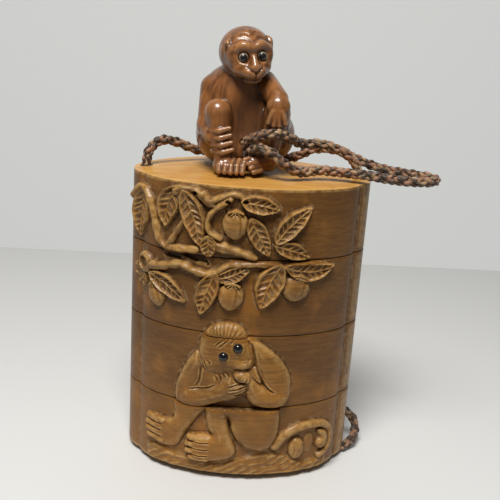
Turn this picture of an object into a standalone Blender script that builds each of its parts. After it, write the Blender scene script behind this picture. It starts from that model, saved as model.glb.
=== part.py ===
"""An inro: a stack of three carved wooden trays under a lid, strung on one braided
cord, with a carved monkey toggle sitting on top.  Lengths are in millimetres here
and become metres when a mesh is made.  +Z is up, the carved front faces -Y, and the
origin is on the ground under the middle of the case."""
import bpy
import bmesh
import numpy as np
from mathutils import Vector

MM = 0.001

# The case in plan: a lens with a wing at each side for the cord
CASE_WIDTH = 62.0
PANEL_WIDTH = 54.2
WING_DEPTH = 9.5
FRONT_BULGE = 11.3
BACK_DEPTH = 22.2
FRONT_ROUNDNESS = 1.35
BACK_ROUNDNESS = 1.32
WING_ROUNDNESS = 3.0

# The case in height, from the ground up
FOOT_HEIGHT = 1.5
BASE_HEIGHT = 20.0
MIDDLE_HEIGHT = 20.2
UPPER_HEIGHT = 20.2
LID_HEIGHT = 17.9
LID_CROWN = 0.9
FOOT_INSET = 3.2
SEAM_GAP = 0.3

# The trays: an inner lens, a floor, and a riser that enters the piece above
FRONT_WALL = 3.2
BACK_WALL = 3.4
END_WALL = 7.6
TRAY_ROUNDNESS = 0.6
FLOOR = 2.2
BASE_FLOOR = 3.0
ROOF = 2.8
RISER_HEIGHT = 4.0
RISER_WALL = 1.3
FIT_CLEARANCE = 0.3

# The cord and the bores it runs in
CORD_DIAMETER = 2.6
CORD_CLEARANCE = 0.45
CHANNEL_INSET = 3.0
CHANNEL_SETBACK = -0.5
CORD_POINT_STEP = 5.2
BORE_POINT_STEP = 14.0

# Set-in eyes
RELIEF_EYE_RADIUS = 1.3
RELIEF_EYE_SINK = 0.35
RELIEF_EYES = {"relief_eye_left": (-4.8, 36.8), "relief_eye_right": (-1.5, 39.3)}
TOGGLE_EYE_RADIUS = 1.25
EYE_CLEARANCE = 0.3

# Fineness of the solids
RELIEF_FACES = 1040
TOGGLE_FACES = 1800
FRONT_STEP = 0.6
BACK_STEP = 1.1
TOGGLE_CELL = 0.55

SEAM_BASE = FOOT_HEIGHT + BASE_HEIGHT
SEAM_MIDDLE = SEAM_BASE + MIDDLE_HEIGHT
SEAM_UPPER = SEAM_MIDDLE + UPPER_HEIGHT
CASE_TOP = SEAM_UPPER + LID_HEIGHT
HALF_WIDTH = CASE_WIDTH / 2
HALF_PANEL = PANEL_WIDTH / 2
CHANNEL_X = HALF_WIDTH - CHANNEL_INSET
CORD_RADIUS = CORD_DIAMETER / 2
CHANNEL_RADIUS = CORD_RADIUS + CORD_CLEARANCE
LID_PEAK = CASE_TOP + LID_CROWN
TOGGLE_SEAT = LID_PEAK + FIT_CLEARANCE

# The carving and the toggle are drawn for these heights, and follow the seams and the lid
DRAWN_LEVELS = (1.5, 21.5, 41.7, 61.9, 79.8)
DRAWN_SEAT = 81.0
LEVELS = (FOOT_HEIGHT, SEAM_BASE, SEAM_MIDDLE, SEAM_UPPER, CASE_TOP)
TOP_SHIFT = TOGGLE_SEAT - DRAWN_SEAT


# Plan outline

def closed_outline():
    """Dense points round the plan from the left wing over the front, and their lengths
    along the outline, counted from the middle of the front."""
    turn = np.linspace(-np.pi / 2, np.pi / 2, 1201)
    rise = np.clip(np.cos(turn), 0, 1)
    front_x = HALF_PANEL * np.sin(turn)
    front_y = -(WING_DEPTH + FRONT_BULGE * rise ** FRONT_ROUNDNESS)
    share = (HALF_PANEL / HALF_WIDTH) ** WING_ROUNDNESS
    wing_reach = WING_DEPTH / (1 - share) ** (1 / WING_ROUNDNESS)
    wing_y = np.linspace(0, WING_DEPTH, 200)
    wing_x = HALF_WIDTH * (1 - (wing_y / wing_reach) ** WING_ROUNDNESS) ** (1 / WING_ROUNDNESS)
    back_x = -HALF_WIDTH * np.sin(turn)
    back_y = BACK_DEPTH * rise ** BACK_ROUNDNESS
    x = np.concatenate([-wing_x, front_x, wing_x[::-1], back_x])
    y = np.concatenate([-wing_y, front_y, -wing_y[::-1], back_y])
    length = np.concatenate([[0], np.cumsum(np.hypot(np.diff(x), np.diff(y)))])
    keep = np.concatenate([[True], np.diff(length) > 1e-9])
    x, y, length = x[keep], y[keep], length[keep]
    middle = length[np.argmin(y)]
    return x, y, length - middle


OUTLINE_X, OUTLINE_Y, OUTLINE_S = closed_outline()
GIRTH = OUTLINE_S[-1] - OUTLINE_S[0]
FRONT_HALF = -OUTLINE_S[0]
NORMAL_BLEND = 1.6


def outline_point(s):
    """Plan position at the length s along the outline, which wraps round."""
    s = (np.asarray(s, float) - OUTLINE_S[0]) % GIRTH + OUTLINE_S[0]
    return np.interp(s, OUTLINE_S, OUTLINE_X), np.interp(s, OUTLINE_S, OUTLINE_Y)


def outline_normal(s):
    """Outward direction at s, blended a little so that the valleys stay open."""
    ahead_x, ahead_y = outline_point(np.asarray(s) + NORMAL_BLEND)
    behind_x, behind_y = outline_point(np.asarray(s) - NORMAL_BLEND)
    tx, ty = ahead_x - behind_x, ahead_y - behind_y
    size = np.hypot(tx, ty)
    return ty / size, -tx / size


def on_surface(s, z, height):
    """Space position of a point that stands out from the wall by a height."""
    x, y = outline_point(s)
    nx, ny = outline_normal(s)
    return np.array([x + nx * height, y + ny * height, z])


# Carving on the wall, as heights over the unrolled surface

def smooth_max(a, b, blend):
    mix = np.clip(0.5 + 0.5 * (a - b) / blend, 0, 1)
    return b + (a - b) * mix + blend * mix * (1 - mix)


def ease(t):
    t = np.clip(t, 0, 1)
    return t * t * (3 - 2 * t)


class Carving:
    """Heights of the carving, gathered piece by piece on unrolled places (s, z)."""

    def __init__(self, s, z):
        self.s = s
        self.z = z
        self.height = np.zeros_like(s)

    def add(self, height, blend=0.2):
        self.height = smooth_max(self.height, height, blend)

    def along(self, start, end):
        """Share of the way from start to end, and distance to the left of that line."""
        start, end = np.array(start, float), np.array(end, float)
        span = np.hypot(*(end - start))
        ex, ez = (end - start) / span
        ds, dz = self.s - start[0], self.z - start[1]
        return (ds * ex + dz * ez) / span, dz * ex - ds * ez, span

    def leaf(self, base, tip, width, lift=1.5, bend=0.0, fullness=0.85):
        """A pointed leaf with a raised margin and a sunk middle rib."""
        share, across, span = self.along(base, tip)
        inner = np.clip(share, 0, 1)
        across = across - bend * 4 * inner * (1 - inner)
        half = width / 2 * np.sin(np.pi * inner ** fullness) ** 0.75
        half = np.where((share > 0) & (share < 1), half, 0)
        side = np.clip(np.abs(across) / np.maximum(half, 0.05), 0, 1)
        edge = ease((half - np.abs(across)) / 0.55)
        rib = np.exp(-(across / 0.4) ** 2) * ease(share * 5)
        self.add(edge * (lift + 0.35 * side ** 2 - 0.3 * rib))

    def branch(self, points, radius, lift=0.6, end_radius=None):
        """A round stem through the given places."""
        end_radius = radius if end_radius is None else end_radius
        total = len(points) - 1
        for i in range(total):
            share, across, span = self.along(points[i], points[i + 1])
            inner = np.clip(share, 0, 1)
            away = np.hypot((share - inner) * span, across)
            thick = radius + (end_radius - radius) * (i + inner) / total
            round_top = np.sqrt(np.clip(1 - (away / thick) ** 2, 0, 1))
            self.add(np.where(away < thick, round_top * (thick * 0.75 + lift), -1), 0.3)

    def dome(self, centre, wide, tall, rise, turn=0.0, blend=0.25, power=0.5):
        """A rounded swelling on an oval."""
        c, sn = np.cos(turn), np.sin(turn)
        ds, dz = self.s - centre[0], self.z - centre[1]
        a, b = ds * c + dz * sn, dz * c - ds * sn
        full = np.clip(1 - (a / wide) ** 2 - (b / tall) ** 2, 0, 1)
        self.add(np.where(full > 0, rise * full ** power, -1), blend)

    def peach(self, centre, wide, tall, rise=2.1, turn=0.0):
        """A round fruit, fuller above and pointed below."""
        c, sn = np.cos(turn), np.sin(turn)
        ds, dz = self.s - centre[0], self.z - centre[1]
        a, b = ds * c + dz * sn, dz * c - ds * sn
        taper = 1 - 0.22 * np.clip(-b / tall, -0.3, 1)
        full = np.clip(1 - (a / (wide * taper)) ** 2 - (b / tall) ** 2, 0, 1)
        crease = 0.25 * np.exp(-((a - 0.25 * wide) / 0.45) ** 2) * ease(full * 2)
        self.add(np.where(full > 0, rise * full ** 0.42 - crease, -1))

    def limb(self, start, end, radius, end_radius, rise, end_rise, blend=0.7):
        """A tapering arm or leg that lies on the wall."""
        share, across, span = self.along(start, end)
        inner = np.clip(share, 0, 1)
        away = np.hypot((share - inner) * span, across)
        thick = radius + (end_radius - radius) * inner
        top = rise + (end_rise - rise) * inner
        full = np.clip(1 - (away / thick) ** 2, 0, 1)
        self.add(np.where(full > 0, top * full ** 0.45, -1), blend)

    def hollow(self, centre, wide, tall, depth, turn=0.0):
        """A pocket cut into the wall between raised parts."""
        c, sn = np.cos(turn), np.sin(turn)
        ds, dz = self.s - centre[0], self.z - centre[1]
        a, b = ds * c + dz * sn, dz * c - ds * sn
        self.height -= depth * ease(1.6 * (1 - (a / wide) ** 2 - (b / tall) ** 2))


def carve_lid(work):
    """Branches from the left wing, seven leaves, and a peach in their middle."""
    work.hollow((-7.2, 70.6), 3.4, 4.2, 0.7)
    work.hollow((-17.0, 66.2), 3.2, 2.6, 0.6)
    work.hollow((-18.0, 61.6), 5.2, 1.4, 0.8)
    work.leaf((-28.6, 76.6), (-31.2, 63.6), 8.4, 1.2, bend=-0.6)
    work.branch([(-34.2, 73.6), (-31.4, 76.3), (-28.2, 75.7), (-26.0, 72.0), (-24.6, 67.8),
                 (-23.4, 64.4), (-21.0, 62.9), (-17.4, 63.0), (-13.4, 63.4)], 1.15, 0.7)
    work.branch([(-21.2, 62.8), (-19.4, 65.7), (-17.6, 68.9), (-15.9, 71.3)], 0.85, 0.8)
    work.leaf((-17.6, 78.9), (-21.9, 67.8), 6.0, 1.5, bend=-1.3)
    work.branch([(-16.9, 78.4), (-14.2, 78.2), (-11.8, 76.9), (-10.2, 75.9), (-7.9, 76.9),
                 (-5.4, 78.0), (-2.6, 77.9)], 1.5, 0.7)
    work.branch([(-12.2, 77.2), (-9.4, 74.8)], 1.5, 0.6, 0.9)
    work.branch([(-5.4, 76.9), (-9.0, 74.0), (-10.7, 71.0), (-10.1, 68.4), (-7.4, 66.9)], 0.85, 1.1)
    work.leaf((-17.0, 78.3), (-12.3, 64.2), 5.6, 2.0, bend=0.7)
    work.branch([(-8.6, 65.0), (-5.4, 64.5), (-2.2, 63.7), (1.2, 62.3)], 1.5, 0.6, 1.0)
    work.leaf((-10.2, 67.6), (-10.0, 61.6), 4.6, 1.8)
    work.peach((-3.9, 70.6), 3.2, 3.7, 2.5)
    work.leaf((-0.4, 72.8), (4.9, 63.0), 5.0, 1.5, bend=-0.2)
    work.leaf((-3.0, 76.6), (6.8, 74.8), 4.8, 1.9, bend=0.2)
    work.leaf((5.8, 66.4), (14.6, 75.7), 5.2, 1.7, bend=0.6)
    work.leaf((5.6, 66.0), (15.2, 62.7), 4.3, 1.5, bend=0.3)


def carve_upper(work):
    """The lower bough with its fruit, and the tuft of the seated monkey below it."""
    work.hollow((-17.0, 60.6), 6.0, 1.7, 0.8)
    for turn in (2.9, 3.5, 4.1, 4.7):
        tip = (-28.8 + 4.8 * np.cos(turn), 54.6 + 4.6 * np.sin(turn))
        work.leaf((-28.4, 54.8), tip, 2.6, 1.2)
    work.peach((-23.9, 49.6), 2.6, 3.3, 1.7, turn=0.35)
    work.leaf((-26.2, 55.2), (-15.4, 48.9), 4.8, 1.6, bend=0.8)
    work.branch([(-26.0, 57.2), (-22.6, 57.6), (-19.6, 58.5), (-16.5, 59.0), (-13.4, 57.9),
                 (-10.2, 57.4), (-7.8, 58.2), (-5.0, 60.2), (-0.7, 60.9), (4.0, 61.1),
                 (8.4, 60.4)], 1.25, 0.8, 0.9)
    work.dome((-28.2, 57.2), 3.0, 3.0, 2.0)
    work.hollow((-28.2, 57.3), 1.7, 1.7, 1.2)
    work.leaf((-7.8, 58.4), (-11.5, 46.4), 5.6, 1.8, bend=-0.5)
    work.leaf((-8.2, 56.4), (1.0, 61.2), 4.0, 1.4, bend=-0.8)
    work.peach((-4.1, 52.2), 3.2, 3.8, 2.3, turn=-0.12)
    work.leaf((7.9, 61.3), (3.3, 49.3), 7.2, 1.7, bend=-0.6)
    work.peach((11.9, 54.9), 3.7, 3.6, 2.2, turn=-0.3)
    work.leaf((8.4, 60.6), (22.4, 60.4), 5.2, 1.7, bend=-1.3)
    carve_head(work)


def carve_head(work):
    """The monkey's head, tilted to one side, which the seam between two trays crosses."""
    work.dome((-4.9, 37.6), 7.0, 7.6, 2.4, turn=0.35, blend=0.5, power=0.4)
    work.dome((-2.6, 36.4), 5.0, 5.4, 2.9, turn=0.62, blend=0.5, power=0.35)
    work.dome((-0.6, 34.6), 3.0, 2.4, 3.3, turn=0.62, blend=0.6)
    work.dome((-9.0, 34.6), 1.5, 2.0, 2.7, turn=0.3, blend=0.4)


def carve_middle(work):
    """Head, both arms and the hands held before the mouth."""
    work.limb((-10.6, 34.6), (-12.8, 26.6), 4.2, 4.2, 1.7, 2.3)
    work.limb((3.6, 38.0), (8.0, 29.2), 3.6, 4.4, 1.9, 2.5)
    carve_head(work)
    work.limb((-12.2, 25.6), (-3.6, 26.6), 4.2, 2.9, 2.5, 3.1, blend=0.5)
    work.limb((7.8, 27.2), (1.2, 28.0), 4.6, 2.9, 2.7, 3.1, blend=0.5)
    for i in range(4):
        work.limb((-7.2 + 1.2 * i, 29.0), (-6.2 + 1.2 * i, 30.9), 0.75, 0.6, 3.3, 3.3, 0.3)
        work.limb((-3.2, 25.6 + 1.25 * i), (1.4, 26.4 + 1.2 * i), 0.75, 0.7, 3.5, 3.4, 0.3)


def carve_base(work):
    """Belly, two legs with splayed toes, the tail curled round two fruits, rough ground."""
    wave = 5.4 + 0.9 * np.sin(work.s / 4.3) + 0.5 * np.sin(work.s / 1.9 + 1)
    shore = ease((wave - work.z) / 1.2) * ease((26.5 - np.abs(work.s)) / 1.5)
    work.add(0.6 * shore)
    work.limb((-12.2, 20.8), (-18.4, 12.4), 4.2, 3.4, 1.7, 1.6)
    work.limb((-3.6, 26.6), (7.8, 26.8), 4.2, 4.6, 2.9, 2.7)
    for i in range(4):
        root = (-19.6, 14.0 - 1.5 * i)
        work.limb(root, (-25.2 + 0.5 * i, 12.8 - 1.7 * i), 0.95, 0.8, 1.8, 1.4, 0.25)
    work.dome((3.7, 16.2), 7.3, 7.4, 2.6, power=0.35, blend=0.5)
    work.limb((-1.5, 19.8), (6.0, 19.6), 2.6, 2.6, 2.7, 2.6)
    work.limb((-5.8, 18.8), (-3.2, 9.4), 3.1, 3.0, 2.8, 2.2)
    work.limb((-3.0, 8.6), (-6.6, 8.8), 3.2, 3.6, 2.1, 2.0)
    for i in range(4):
        root = (-7.2, 12.1 - 2.0 * i)
        work.limb(root, (-12.9 + 0.4 * abs(i - 1), 11.4 - 2.2 * i), 1.05, 0.95, 2.3, 1.9, 0.25)
    work.branch([(10.2, 11.6), (13.1, 14.2), (17.7, 15.9), (22.6, 15.4), (25.9, 13.6), (27.0, 10.2),
                 (26.2, 6.6), (23.4, 4.9)], 1.7, 0.5, 0.8)
    work.dome((15.7, 9.0), 2.4, 2.9, 1.9)
    work.dome((23.2, 10.2), 1.9, 2.7, 1.7)


def carve_back(work):
    """A plainer bough on the hidden side, in the manner of the front."""
    work.branch([(-24.0, 66.0), (-17.0, 68.5), (-9.0, 67.0), (-1.0, 69.5), (7.0, 67.5), (13.0, 69.0)],
                1.3, 0.4, 0.8)
    work.branch([(-22.0, 50.0), (-14.0, 52.5), (-6.0, 51.0), (3.0, 53.5)], 1.2, 0.4, 0.8)
    for base, tip in (((-16, 68.6), (-10, 75.4)), ((-8, 67), (-14, 63.2)), ((0, 69.5), (5, 76)),
                      ((6, 67.6), (12, 63.6)), ((12, 69), (20, 72)), ((-13, 52.2), (-8, 58.6)),
                      ((-5, 51.2), (-11, 45.4)), ((2, 53.4), (10, 56.5)), ((1, 53), (7, 47.6))):
        work.leaf(base, tip, 4.6, 1.0)
    work.peach((-2.0, 65.4), 3.0, 3.2, 1.4)
    work.peach((-16.0, 48.4), 3.0, 3.2, 1.4)


def relief(s, z):
    """Height of all the carving over the plain wall at (s, z)."""
    heights = []
    drawn = np.interp(z, LEVELS, DRAWN_LEVELS)
    for low, high, carve in ((-99, SEAM_BASE, carve_base), (SEAM_BASE, SEAM_MIDDLE, carve_middle),
                             (SEAM_MIDDLE, SEAM_UPPER, carve_upper), (SEAM_UPPER, 999, carve_lid)):
        work = Carving(s, drawn)
        carve(work)
        heights.append(np.where((z >= low) & (z < high), work.height, 0))
    back = Carving(np.where(s > 0, s - GIRTH / 2, s + GIRTH / 2), drawn)
    carve_back(back)
    behind = np.abs(s) > FRONT_HALF
    front = sum(heights) * ease((FRONT_HALF - np.abs(s)) / 4)
    below_rim = ease((CASE_TOP - 0.25 - z) / 0.7) * ease((z - FOOT_HEIGHT) / 0.6)
    return np.where(behind, back.height, front) * below_rim


# Making meshes

def new_object(name, verts, faces):
    """A mesh object from points in millimetres."""
    mesh = bpy.data.meshes.new(name)
    mesh.from_pydata((np.asarray(verts) * MM).tolist(), [], faces)
    mesh.validate()
    obj = bpy.data.objects.new(name, mesh)
    bpy.context.collection.objects.link(obj)
    return obj


def ring_faces(rings, count, first=0):
    """Quads between stacked rings of the same number of points."""
    faces = []
    for r in range(rings - 1):
        low, high = first + r * count, first + (r + 1) * count
        for i in range(count):
            j = (i + 1) % count
            faces.append((low + i, low + j, high + j, high + i))
    return faces


def stacked_rings(name, rings):
    """A closed solid from rings that run counter-clockwise seen from above, low to high."""
    count = len(rings[0])
    faces = ring_faces(len(rings), count)
    faces.append(tuple(range(count - 1, -1, -1)))
    top = (len(rings) - 1) * count
    faces.append(tuple(range(top, top + count)))
    return new_object(name, np.concatenate(rings), faces)


def lens(points, half_length, front, back, grow, z):
    """A ring on the trays' inner lens, made larger all round by grow."""
    turn = np.linspace(0, 2 * np.pi, round(points), endpoint=False)
    c, s = np.cos(turn), np.sin(turn)
    reach = np.where(s < 0, front, back) + grow
    y = np.sign(s) * reach * np.abs(s) ** TRAY_ROUNDNESS
    return np.stack([(half_length + grow) * c, y, np.full(len(y), float(z))], axis=1)


TRAY_END = HALF_WIDTH - END_WALL
TRAY_FRONT = WING_DEPTH + FRONT_BULGE - FRONT_WALL
TRAY_BACK = BACK_DEPTH - BACK_WALL
LENS_POINTS = 30


def lens_solid(name, grow, low, high):
    rings = [lens(LENS_POINTS, TRAY_END, TRAY_FRONT, TRAY_BACK, grow, z) for z in (low, high)]
    return stacked_rings(name, rings)


def apply_boolean(obj, other, operation):
    """Cut or join with another object and drop that object."""
    change = obj.modifiers.new(operation.lower(), "BOOLEAN")
    change.object = other
    change.operation = operation
    bake(obj)
    bpy.data.objects.remove(other)


def bake(obj):
    """Replace an object's mesh by what its modifiers make of it."""
    bpy.context.view_layer.update()
    done = bpy.data.meshes.new_from_object(obj.evaluated_get(bpy.context.evaluated_depsgraph_get()))
    obj.modifiers.clear()
    obj.data = done


def reduce_faces(obj, target):
    """Thin a fine mesh to about the target number of triangles."""
    obj.data.calc_loop_triangles()
    thin = obj.modifiers.new("thin", "DECIMATE")
    thin.ratio = min(1.0, target / len(obj.data.loop_triangles))
    bake(obj)


def section_block(name, low, high, top_rise=0.0, foot=False):
    """The solid body of one section, carved outside, before it is hollowed."""
    front = np.arange(-FRONT_HALF, FRONT_HALF, FRONT_STEP)
    behind = np.arange(FRONT_HALF, GIRTH - FRONT_HALF, BACK_STEP)
    s = np.concatenate([front, behind])
    s = np.where(s > GIRTH / 2, s - GIRTH, s)
    levels = np.linspace(low, high, round((high - low) / FRONT_STEP) + 1)
    grid_s, grid_z = np.meshgrid(s, levels)
    inside_z = np.clip(grid_z, low + 1e-6, high - 1e-6)
    wall = np.moveaxis(on_surface(grid_s, grid_z, relief(grid_s, inside_z)), 0, -1)
    rings = list(wall)
    shrink = (0.97, 0.9, 0.78, 0.6, 0.4, 0.2)
    plan = np.stack([*outline_point(s), np.zeros_like(s)], axis=1)
    for share in shrink:
        lift = top_rise * (1 - share ** 3)
        inner = rings[-1] * (share, share, 0) if share == shrink[0] else plan * (share, share, 0)
        inner[:, 2] = high + lift
        rings.append(inner)
    if foot:
        rim = 1 - FOOT_INSET / BACK_DEPTH
        shares = ((rim, low), (rim * 0.97, 0.0), (0.6, 0.0), (0.3, 0.0))
    else:
        shares = ((0.97, low), (0.78, low), (0.4, low))
    for share, z in shares:
        inner = plan * (share, share, 0)
        inner[:, 2] = z
        rings.insert(0, inner)
    block = stacked_rings(name, rings)
    reduce_faces(block, RELIEF_FACES)
    snap_levels(block, (low, high) if top_rise == 0 else (low,), foot)
    return block


def snap_levels(obj, levels, foot):
    """Put points that thinning moved a little back on the flat levels."""
    for vert in obj.data.vertices:
        z = vert.co.z / MM
        for level in levels + ((0.0,) if foot else ()):
            if abs(z - level) < 0.12:
                vert.co.z = level * MM


def tube(name, points, radius, sides=10):
    """A closed round bar along a line of points, for cutting cord ways."""
    points = [Vector(p) for p in points]
    rings = []
    side = None
    for i, point in enumerate(points):
        ahead = points[min(i + 1, len(points) - 1)] - points[max(i - 1, 0)]
        ahead.normalize()
        if side is None:
            side = ahead.orthogonal().normalized()
        side = (side - ahead * side.dot(ahead)).normalized()
        up = ahead.cross(side)
        turns = [2 * np.pi * k / sides for k in range(sides)]
        rings.append([point + (side * np.cos(t) + up * np.sin(t)) * radius for t in turns])
    return stacked_rings(name, [np.array([list(p) for p in ring]) for ring in rings])


# The cord's way, as places it passes, from the toggle's lap and back to it

def cord_guide():
    """Places on the cord's way; those over the case follow the lid's height."""
    bore = CHANNEL_X
    back = CHANNEL_SETBACK
    floor = CORD_RADIUS + 0.1
    places = [
        (-2.6, -7.6, 88.6), (-0.6, -10.9, 90.3), (2.8, -12.8, 91.8), (6.6, -11.6, 91.6), (9.6, -7.8, 90.0),
        (12.0, -4.0, 88.6), (17.0, -2.6, 88.6), (bore - 6.0, -1.8, 87.2), (bore - 2.0, -0.9, 84.6),
        (bore, back, 80.6), (bore, back, 70.0), (bore, back, 50.0), (bore, back, 30.0), (bore, back, 15.0),
        (bore + 1.6, 1.4, 11.2), (bore + 4.4, 3.4, 8.8), (bore + 6.8, 3.6, 6.2), (bore + 7.0, 0.6, 3.9),
        (bore + 5.0, -2.6, 2.2), (bore + 1.4, -4.6, floor), (bore - 3.6, -5.4, floor), (bore - 9.6, -5.0, floor),
        (11.0, -3.8, floor), (0.0, -2.2, floor), (-11.0, -0.9, floor), (8.0 - bore, back, floor),
        (3.8 - bore, back, 1.8), (1.0 - bore, back, 4.1), (-bore, back, 9.0),
        (-bore, back, 24.0), (-bore, back, 44.0), (-bore, back, 62.0), (-bore, back, 80.4),
        (1.0 - bore, 0.2, 84.6), (4.0 - bore, 1.8, 86.6), (-20.0, 4.4, 85.6), (-15.4, 8.4, 83.4),
        (-9.0, 12.2, 82.4), (-1.0, 12.8, 82.3), (6.0, 9.8, 82.3), (11.4, 5.4, 83.6), (16.0, 3.0, 86.4),
        (22.4, 2.6, 86.4), (28.4, 3.0, 84.0), (35.0, 1.8, 82.2), (41.6, 0.4, 81.6), (46.4, -2.2, 81.5),
        (47.0, -6.8, 81.5), (42.6, -9.6, 81.5), (36.0, -9.9, 81.7), (29.6, -8.9, 82.2), (22.0, -8.4, 82.6),
        (16.4, -9.4, 83.0), (11.6, -11.6, 82.6), (7.4, -13.9, 84.6), (3.6, -14.2, 87.6), (0.2, -12.0, 88.0),
        (-2.2, -9.0, 85.6),
    ]
    return [(x, y, z + TOP_SHIFT if z > DRAWN_LEVELS[3] else z) for x, y, z in places]


def smooth_route(guide, step, bore_step=None):
    """Points a step apart on a smooth curve through the guide's places, or a longer step
    apart where the cord runs straight in a bore."""
    p = np.array(guide, float)
    p = np.concatenate([[2 * p[0] - p[1]], p, [2 * p[-1] - p[-2]]])
    fine = []
    for i in range(1, len(p) - 2):
        t = np.linspace(0, 1, 24, endpoint=False)[:, None]
        a, b, c, d = p[i - 1], p[i], p[i + 1], p[i + 2]
        curve = 2 * b + (c - a) * t + (2 * a - 5 * b + 4 * c - d) * t ** 2
        fine.append(0.5 * (curve + (3 * b - a - 3 * c + d) * t ** 3))
    fine = np.concatenate(fine + [p[-2:-1]])
    pace = np.linalg.norm(np.diff(fine, axis=0), axis=1)
    if bore_step:
        straight = (np.abs(np.abs(fine[1:, 0]) - CHANNEL_X) < 0.2) & (np.abs(fine[1:, 2] - 45) < 32)
        pace = np.where(straight, pace * step / bore_step, pace)
    length = np.concatenate([[0], np.cumsum(pace)])
    marks = np.linspace(0, length[-1], round(length[-1] / step) + 1)
    return np.stack([np.interp(marks, length, fine[:, k]) for k in range(3)], axis=1)


CORD_ROUTE = smooth_route(cord_guide(), CORD_POINT_STEP, BORE_POINT_STEP)


def make_cord():
    curve = bpy.data.curves.new("cord", "CURVE")
    curve.dimensions = "3D"
    curve.bevel_depth = CORD_RADIUS * MM
    curve.bevel_resolution = 2
    curve.use_fill_caps = True
    spline = curve.splines.new("POLY")
    spline.points.add(len(CORD_ROUTE) - 1)
    for point, place in zip(spline.points, CORD_ROUTE):
        point.co = (*(place * MM), 1)
    cord = bpy.data.objects.new("cord", curve)
    bpy.context.collection.objects.link(cord)
    return cord


# The monkey toggle, as distances to blended solids

def ellipsoid(p, centre, radii):
    q = (p - centre) / radii
    k = np.linalg.norm(q, axis=-1)
    steep = np.linalg.norm(q / radii, axis=-1)
    return k * (k - 1) / np.maximum(steep, 1e-6)


def rod(p, start, end, radius, end_radius=None):
    """A round-ended bar whose radius changes along it."""
    end_radius = radius if end_radius is None else end_radius
    start, end = np.array(start, float), np.array(end, float)
    axis = end - start
    share = np.clip(((p - start) @ axis) / (axis @ axis), 0, 1)
    near = p - (start + share[..., None] * axis)
    return np.linalg.norm(near, axis=-1) - (radius + (end_radius - radius) * share)


def join(a, b, blend):
    return -smooth_max(-a, -b, blend)


def carve_off(a, b, blend):
    """Solid a with solid b taken out of it."""
    return smooth_max(a, -b, blend)


TOGGLE_LOW, TOGGLE_HIGH = (-18.0, -17.0), (13.0, 13.0)
TOGGLE_REACH = 38.0
HEAD_CENTRE = np.array([-3.8, -4.0, 110.2])
HEAD_YAW, HEAD_PITCH, HEAD_ROLL = 0.30, 0.06, 0.12


def head_axes():
    """Rows are the head's right, back and up directions."""
    cy, sy = np.cos(HEAD_YAW), np.sin(HEAD_YAW)
    cp, sp = np.cos(HEAD_PITCH), np.sin(HEAD_PITCH)
    cr, sr = np.cos(HEAD_ROLL), np.sin(HEAD_ROLL)
    turn = np.array([[cy, sy, 0], [-sy, cy, 0], [0, 0, 1]])
    nod = np.array([[1, 0, 0], [0, cp, sp], [0, -sp, cp]])
    tilt = np.array([[cr, 0, sr], [0, 1, 0], [-sr, 0, cr]])
    return tilt @ nod @ turn


HEAD = head_axes()
TOGGLE_PLACE = np.array([0.0, 0.0, TOP_SHIFT])
TOGGLE_EYES = {"netsuke_eye_left": (-2.35, -5.75, -0.15), "netsuke_eye_right": (2.35, -5.75, -0.15)}


def toggle_eye(name):
    return HEAD_CENTRE + TOGGLE_PLACE + np.array(TOGGLE_EYES[name]) @ HEAD


def toggle_head(p):
    q = (p - HEAD_CENTRE) @ HEAD.T
    head = ellipsoid(q, (0, 0.2, 0.3), (6.5, 6.6, 6.2))
    for side in (-1, 1):
        head = join(head, ellipsoid(q, (side * 2.9, -4.3, -2.8), (2.7, 2.5, 2.3)), 1.2)
    head = join(head, ellipsoid(q, (0, -5.6, -3.6), (3.1, 3.0, 2.6)), 1.0)
    head = join(head, ellipsoid(q, (0, -5.0, -5.4), (2.4, 2.4, 1.5)), 0.8)
    head = join(head, rod(q, (0, -6.0, 0.6), (0, -8.2, -2.4), 0.9, 0.8), 0.8)
    head = join(head, rod(q, (-3.4, -5.2, 1.7), (3.4, -5.2, 1.7), 1.15), 0.8)
    for side in (-1, 1):
        head = carve_off(head, ellipsoid(q, (side * 2.35, -6.9, -0.15), (1.6, 1.5, 1.3)), 0.5)
        ear = ellipsoid(q, (side * 5.6, -2.7, 1.9), (1.0, 1.5, 2.2))
        head = join(head, ear, 0.4)
        head = carve_off(head, ellipsoid(q, (side * 6.4, -3.4, 2.0), (0.7, 1.0, 1.5)), 0.3)
    return head


def toggle_body(p):
    body = ellipsoid(p, (-4.5, 1.5, 93.5), (10.6, 9.5, 11.5))
    body = join(body, ellipsoid(p, (-6.2, 1.0, 99.2), (8.1, 8.0, 8.2)), 2.0)
    body = join(body, ellipsoid(p, (-4.2, 1.5, 88.0), (11.0, 9.6, 7.6)), 2.0)
    body = join(body, rod(p, (-4.2, -1.5, 104.5), (-4.6, -1.0, 99.0), 5.0, 6.0), 2.0)
    body = join(body, ellipsoid(p, (4.6, -1.0, 90.0), (5.6, 6.4, 6.6)), 1.5)
    body = join(body, ellipsoid(p, (-8.4, -1.0, 90.0), (6.6, 7.0, 7.0)), 1.5)
    return body


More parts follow.
